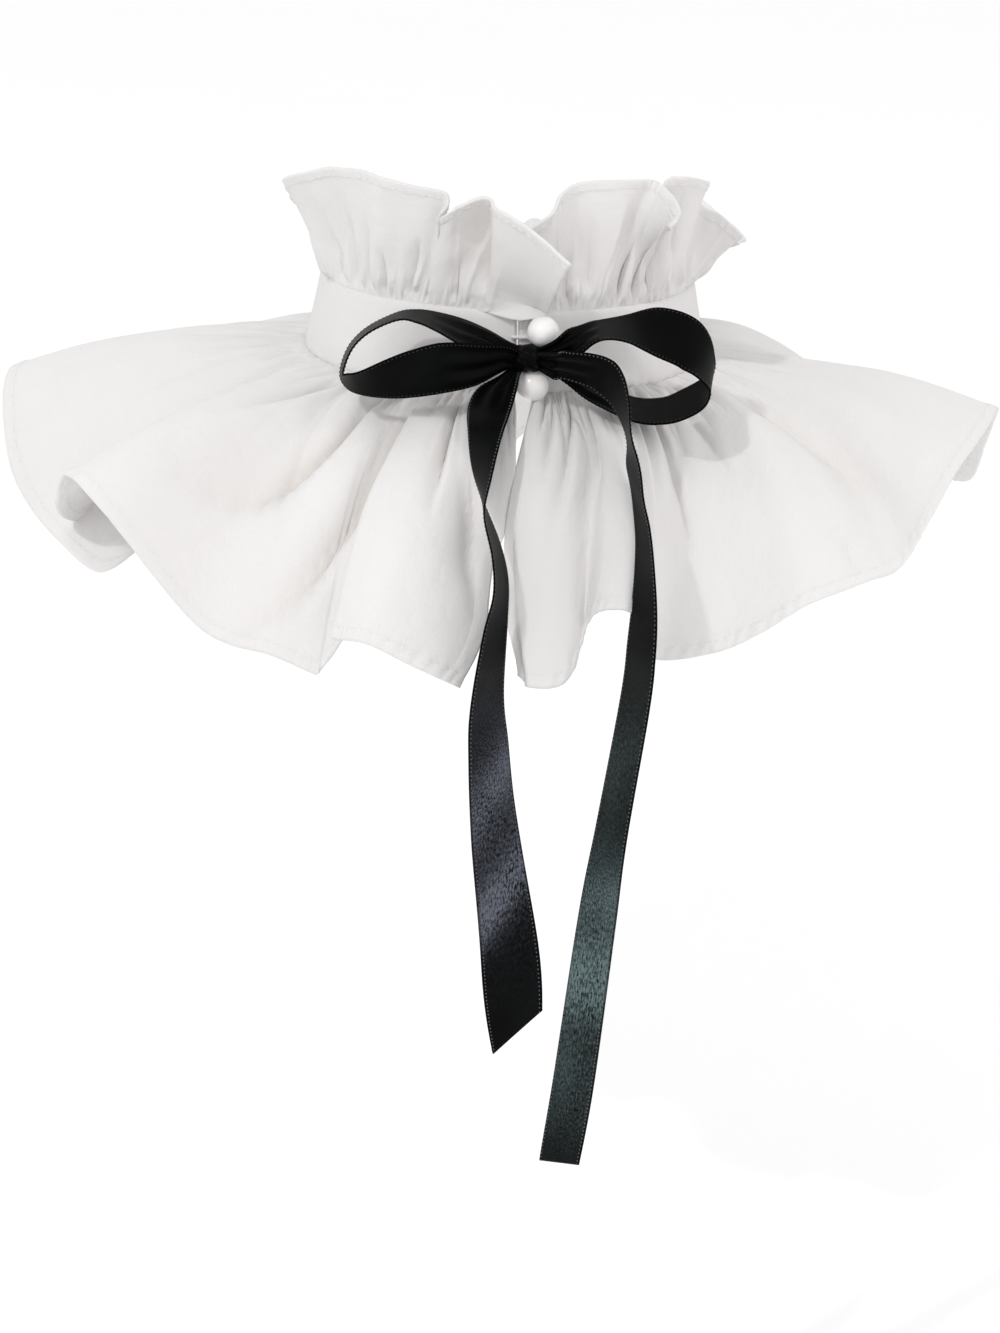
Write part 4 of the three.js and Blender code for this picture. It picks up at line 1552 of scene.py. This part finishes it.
@dataclass
class PearlButton:
    """A pearl on a short shank, turned about the line that leaves the neck's axis."""

    name: str
    x: float
    z: float
    diameter: float = 9.0
    shank: float = 2.4
    standoff: float = 1.2
    gap: float = 0.3
    flare: float = 1.25
    steps: int = 41
    sides: int = 72

    def profile(self) -> Grid:
        """The turned outline, from the pearl's front to the middle of the shank's foot.

        Returns:
            Rows of distance out and radius.
        """
        radius, thin = self.diameter / 2, self.shank / 2
        angles = np.linspace(0, math.pi, self.steps)
        out, wide = radius + self.standoff + radius * np.cos(angles), radius * np.sin(angles)
        ball = np.stack([out, wide], -1)[(out > radius) | (wide > thin * self.flare)]
        shank = [(self.standoff * 0.8, thin * 1.05), (self.standoff * 0.4, thin), (0, thin * 1.1), (0, 0)]
        return np.concatenate([ball, shank])

    def build(self, nacre: bpy.types.Material) -> bpy.types.Object:
        """Args:
            nacre: Its material.

        Returns:
            The pearl.
        """
        surface = NECK.radius(self.z) + self.gap
        angle = math.asin(self.x / surface)
        out_way = np.array([math.sin(angle), -math.cos(angle), 0.0])
        side_way = np.array([math.cos(angle), math.sin(angle), 0.0])
        up_way = np.array([0.0, 0.0, 1.0])
        turn = np.linspace(0, TURN, self.sides, endpoint=False)[:, None]
        circle = side_way * np.cos(turn) + up_way * np.sin(turn)
        profile = self.profile()
        line = out_way * (surface + profile[:, :1]) + up_way * self.z
        rings = line[1:-1, None] + circle * profile[1:-1, 1, None, None]
        piece = capped_rings(f"nacre_{self.name}", rings, line[[0, -1]])
        return declare(piece, nacre, self.name)


@dataclass
class ButtonLoop:
    """A twisted white cord from the opening's edge, round a pearl's shank and back."""

    name: str
    x: float
    z: float
    cord: float = 1.2
    bend: float = 2.6
    reach: float = 8.0
    gap: float = 0.3
    strands: int = 3
    strand_depth: float = 0.2
    twist: float = 2.4
    bend_steps: int = 17
    steps: int = 220
    sides: int = 24

    def path(self) -> Grid:
        """The cord's centre line.

        Returns:
            Points at even steps.
        """
        angles = np.linspace(math.pi / 2, -math.pi / 2, self.bend_steps)
        flat = np.array([
            (self.x - self.reach, self.bend),
            *((self.x + self.bend * math.cos(a), self.bend * math.sin(a)) for a in angles),
            (self.x - self.reach, -self.bend),
        ])
        run = travelled(flat, 0)
        side, lift = (np.interp(np.linspace(0, run[-1], self.steps), run, flat[:, axis]) for axis in (0, 1))
        reach = NECK.radius(self.z + lift) + self.gap + self.cord / 2
        angle = np.arcsin(side / reach)
        return np.stack([reach * np.sin(angle), -reach * np.cos(angle), self.z + lift], -1)

    def build(self, elastic: bpy.types.Material) -> bpy.types.Object:
        """Args:
            elastic: Its material.

        Returns:
            The cord.
        """
        path = self.path()
        tangent = unit(np.gradient(path, axis=0))
        out = unit(path * np.array([1, 1, 0]))
        out = unit(out - tangent * (out * tangent).sum(-1, keepdims=True))
        side = np.cross(tangent, out)
        turn = np.linspace(0, TURN, self.sides, endpoint=False)[None, :]
        spin = TURN * travelled(path, 0)[:, None] / self.twist
        lobes = np.abs(np.cos(self.strands * (turn - spin) / 2)) ** 0.7
        radius = self.cord / 2 * (1 - self.strand_depth + self.strand_depth * lobes)
        circle = out[:, None] * np.cos(turn)[..., None] + side[:, None] * np.sin(turn)[..., None]
        rings = path[:, None] + circle * radius[..., None]
        piece = capped_rings(f"cord_{self.name}", rings, path[[0, -1]])
        return declare(piece, elastic, self.name)


@dataclass(frozen=True)
class PhotoCamera:
    """The camera at the photograph's angle, in millimetres."""

    azimuth: float = -3.4
    roll: float = 2.0
    ground: float = 880.0
    height: float = 195.0
    focal_pixels: float = 2986.0
    long_side_pixels: float = 1333.0
    sensor: float = 36.0
    nearest: float = 0.01
    aim: tuple[float, float, float] = (1.8, 0.0, -101.0)

    def build(self) -> None:
        """Makes the camera and looks through it."""
        turn, roll = math.radians(self.azimuth), math.radians(self.roll)
        eye = Vector((math.sin(turn) * self.ground, -math.cos(turn) * self.ground, self.height))
        forward = (Vector(self.aim) - eye).normalized()
        level = forward.cross(Vector((0, 0, 1))).normalized()
        upright = level.cross(forward)
        right = level * math.cos(roll) + upright * math.sin(roll)
        up = upright * math.cos(roll) - level * math.sin(roll)
        data = bpy.data.cameras.new("photo_camera")
        data.sensor_width = self.sensor
        data.lens = self.focal_pixels / self.long_side_pixels * self.sensor
        data.clip_start = self.nearest
        made = add_object("photo_camera", data)
        turned = Matrix((right, up, -forward)).transposed().to_4x4()
        made.matrix_world = Matrix.Translation(eye * MM) @ turned
        bpy.context.scene.camera = made


@dataclass(frozen=True)
class Lamp:
    """A square soft light that looks at the collar."""

    name: str
    place: tuple[float, float, float]
    size: float
    power: float
    colour: Colour = (1.0, 1.0, 1.0)
    target: tuple[float, float, float] = (0.0, 0.0, -0.03)

    def build(self) -> None:
        """Makes the light."""
        data = bpy.data.lights.new(self.name, "AREA")
        data.shape = "SQUARE"
        data.size = self.size
        data.energy = self.power
        data.color = self.colour
        made = add_object(self.name, data)
        made.location = self.place
        made.rotation_mode = "QUATERNION"
        made.rotation_quaternion = (Vector(self.target) - Vector(self.place)).to_track_quat("-Z", "Y")


@dataclass(frozen=True)
class Studio:
    """A pale floor under a white sky, and soft lights, in metres."""

    floor_height: float = -0.34
    floor_size: float = 30.0
    floor_colour: Colour = (0.985, 0.985, 0.985)
    floor_rough: float = 0.9
    mottling: float = 0.99
    sky: float = 1.0
    lamps: tuple[Lamp, ...] = (
        Lamp("key", place=(-0.95, -1.15, 1.3), size=0.08, power=9.6),
        Lamp("fill", place=(1.3, -1.2, 0.4), size=1.2, power=4.0, colour=(1.0, 0.95, 0.925)),
    )

    def build(self) -> None:
        """Makes the floor, the sky and the lights."""
        half, height = self.floor_size / 2 / MM, self.floor_height / MM
        corners = [(x * half, y * half, height) for x, y in ((-1, -1), (1, -1), (1, 1), (-1, 1))]
        floor = make_mesh("floor", corners, [(0, 1, 2, 3)])
        shader = Shader("floor_paint")
        darker = tuple(c * self.mottling for c in self.floor_colour)
        colour = shader.mix(shader.cloud(shader.place(), 3, 2), darker, self.floor_colour)
        floor.data.materials.append(shader.finish(shader.principled({
            "Base Color": colour, "Roughness": self.floor_rough, "Specular IOR Level": 0.1,
        })))
        world = bpy.data.worlds.new("sky")
        world.use_nodes = True
        background = world.node_tree.nodes["Background"]
        background.inputs["Color"].default_value = (1, 1, 1, 1)
        background.inputs["Strength"].default_value = self.sky
        bpy.context.scene.world = world
        bpy.context.scene.view_settings.view_transform = "Standard"
        for lamp in self.lamps:
            lamp.build()


# The pearls' places along X and up the band, in millimetres
BUTTONS = {"upper": (6.2, 18.4), "lower": (3.9, 3.9)}
# Each tail's satin, with painted highlight bands at the heights where that tail shines
LEFT_TAIL_SATIN = Satin("black_satin_left_tail", painted_sheen=(0.12, 0.13, 0.16), painted_glints=(
    PaintedGlint(-0.087, 1.3, 0.01, 0.8), PaintedGlint(-0.122, 1.3, 0.009, 1.2), PaintedGlint(-0.104, 0, 0.028, 0.35),
))
RIGHT_TAIL_SATIN = Satin("black_satin_right_tail", painted_sheen=(0.12, 0.17, 0.175), painted_glints=(
    PaintedGlint(-0.152, 0.2, 0.012, 1.35), PaintedGlint(-0.13, 0.2, 0.014, 0.55), PaintedGlint(-0.176, 0, 0.022, 0.28),
    PaintedGlint(-0.085, 0, 0.02, 0.16),
))


def main() -> None:
    """Builds the studio and every piece of the collar, and reports each piece."""
    logging.basicConfig(level=logging.INFO, format="%(message)s")
    PhotoCamera().build()
    Studio().build()
    cotton, satin, nacre = Cotton().material(), Satin().material(), Nacre().material()
    satin_left, satin_right = LEFT_TAIL_SATIN.material(), RIGHT_TAIL_SATIN.material()
    white_thread = Thread("white_thread", (0.84, 0.83, 0.83)).material()
    black_thread = Thread("black_thread", (0.008, 0.008, 0.009), 0.5).material()
    # painted light: the tails' edge dots are pale grey, standing for light seen through the picot gaps
    edge_thread = Thread("edge_thread", (0.09, 0.1, 0.105), 0.5).material()
    elastic = Thread("white_elastic", (0.86, 0.85, 0.84), 0.7).material()
    pieces = [
        NeckBand().build(cotton),
        flounce().build(cotton, white_thread),
        ruffle().build(cotton, white_thread),
    ]
    for name, (x, z) in BUTTONS.items():
        pieces.append(PearlButton(f"pearl_button_{name}", x, z).build(nacre))
        pieces.append(ButtonLoop(f"button_loop_{name}", x, z).build(elastic))
    pieces.append(BowKnot().build(satin))
    left_loop = Ribbon("bow_loop_left", BOW_LOOP_LEFT, seed=3, flat_length=0.12)
    right_loop = Ribbon("bow_loop_right", BOW_LOOP_RIGHT, seed=4, flat_length=0.115)
    left_tail = Ribbon("ribbon_tail_left", RIBBON_TAIL_LEFT, seed=5, flat_length=0.21, slant=17.5)
    right_tail = Ribbon("ribbon_tail_right", RIBBON_TAIL_RIGHT, seed=6, flat_length=0.262, slant=-4.5)
    pieces += [ribbon.build(satin, black_thread) for ribbon in (left_loop, right_loop)]
    pieces.append(left_tail.build(satin_left, edge_thread))
    pieces.append(right_tail.build(satin_right, edge_thread))
    for piece in pieces:
        LOG.info("%s: %d faces", piece.name, len(piece.data.polygons))


if __name__ == "__main__":
    main()
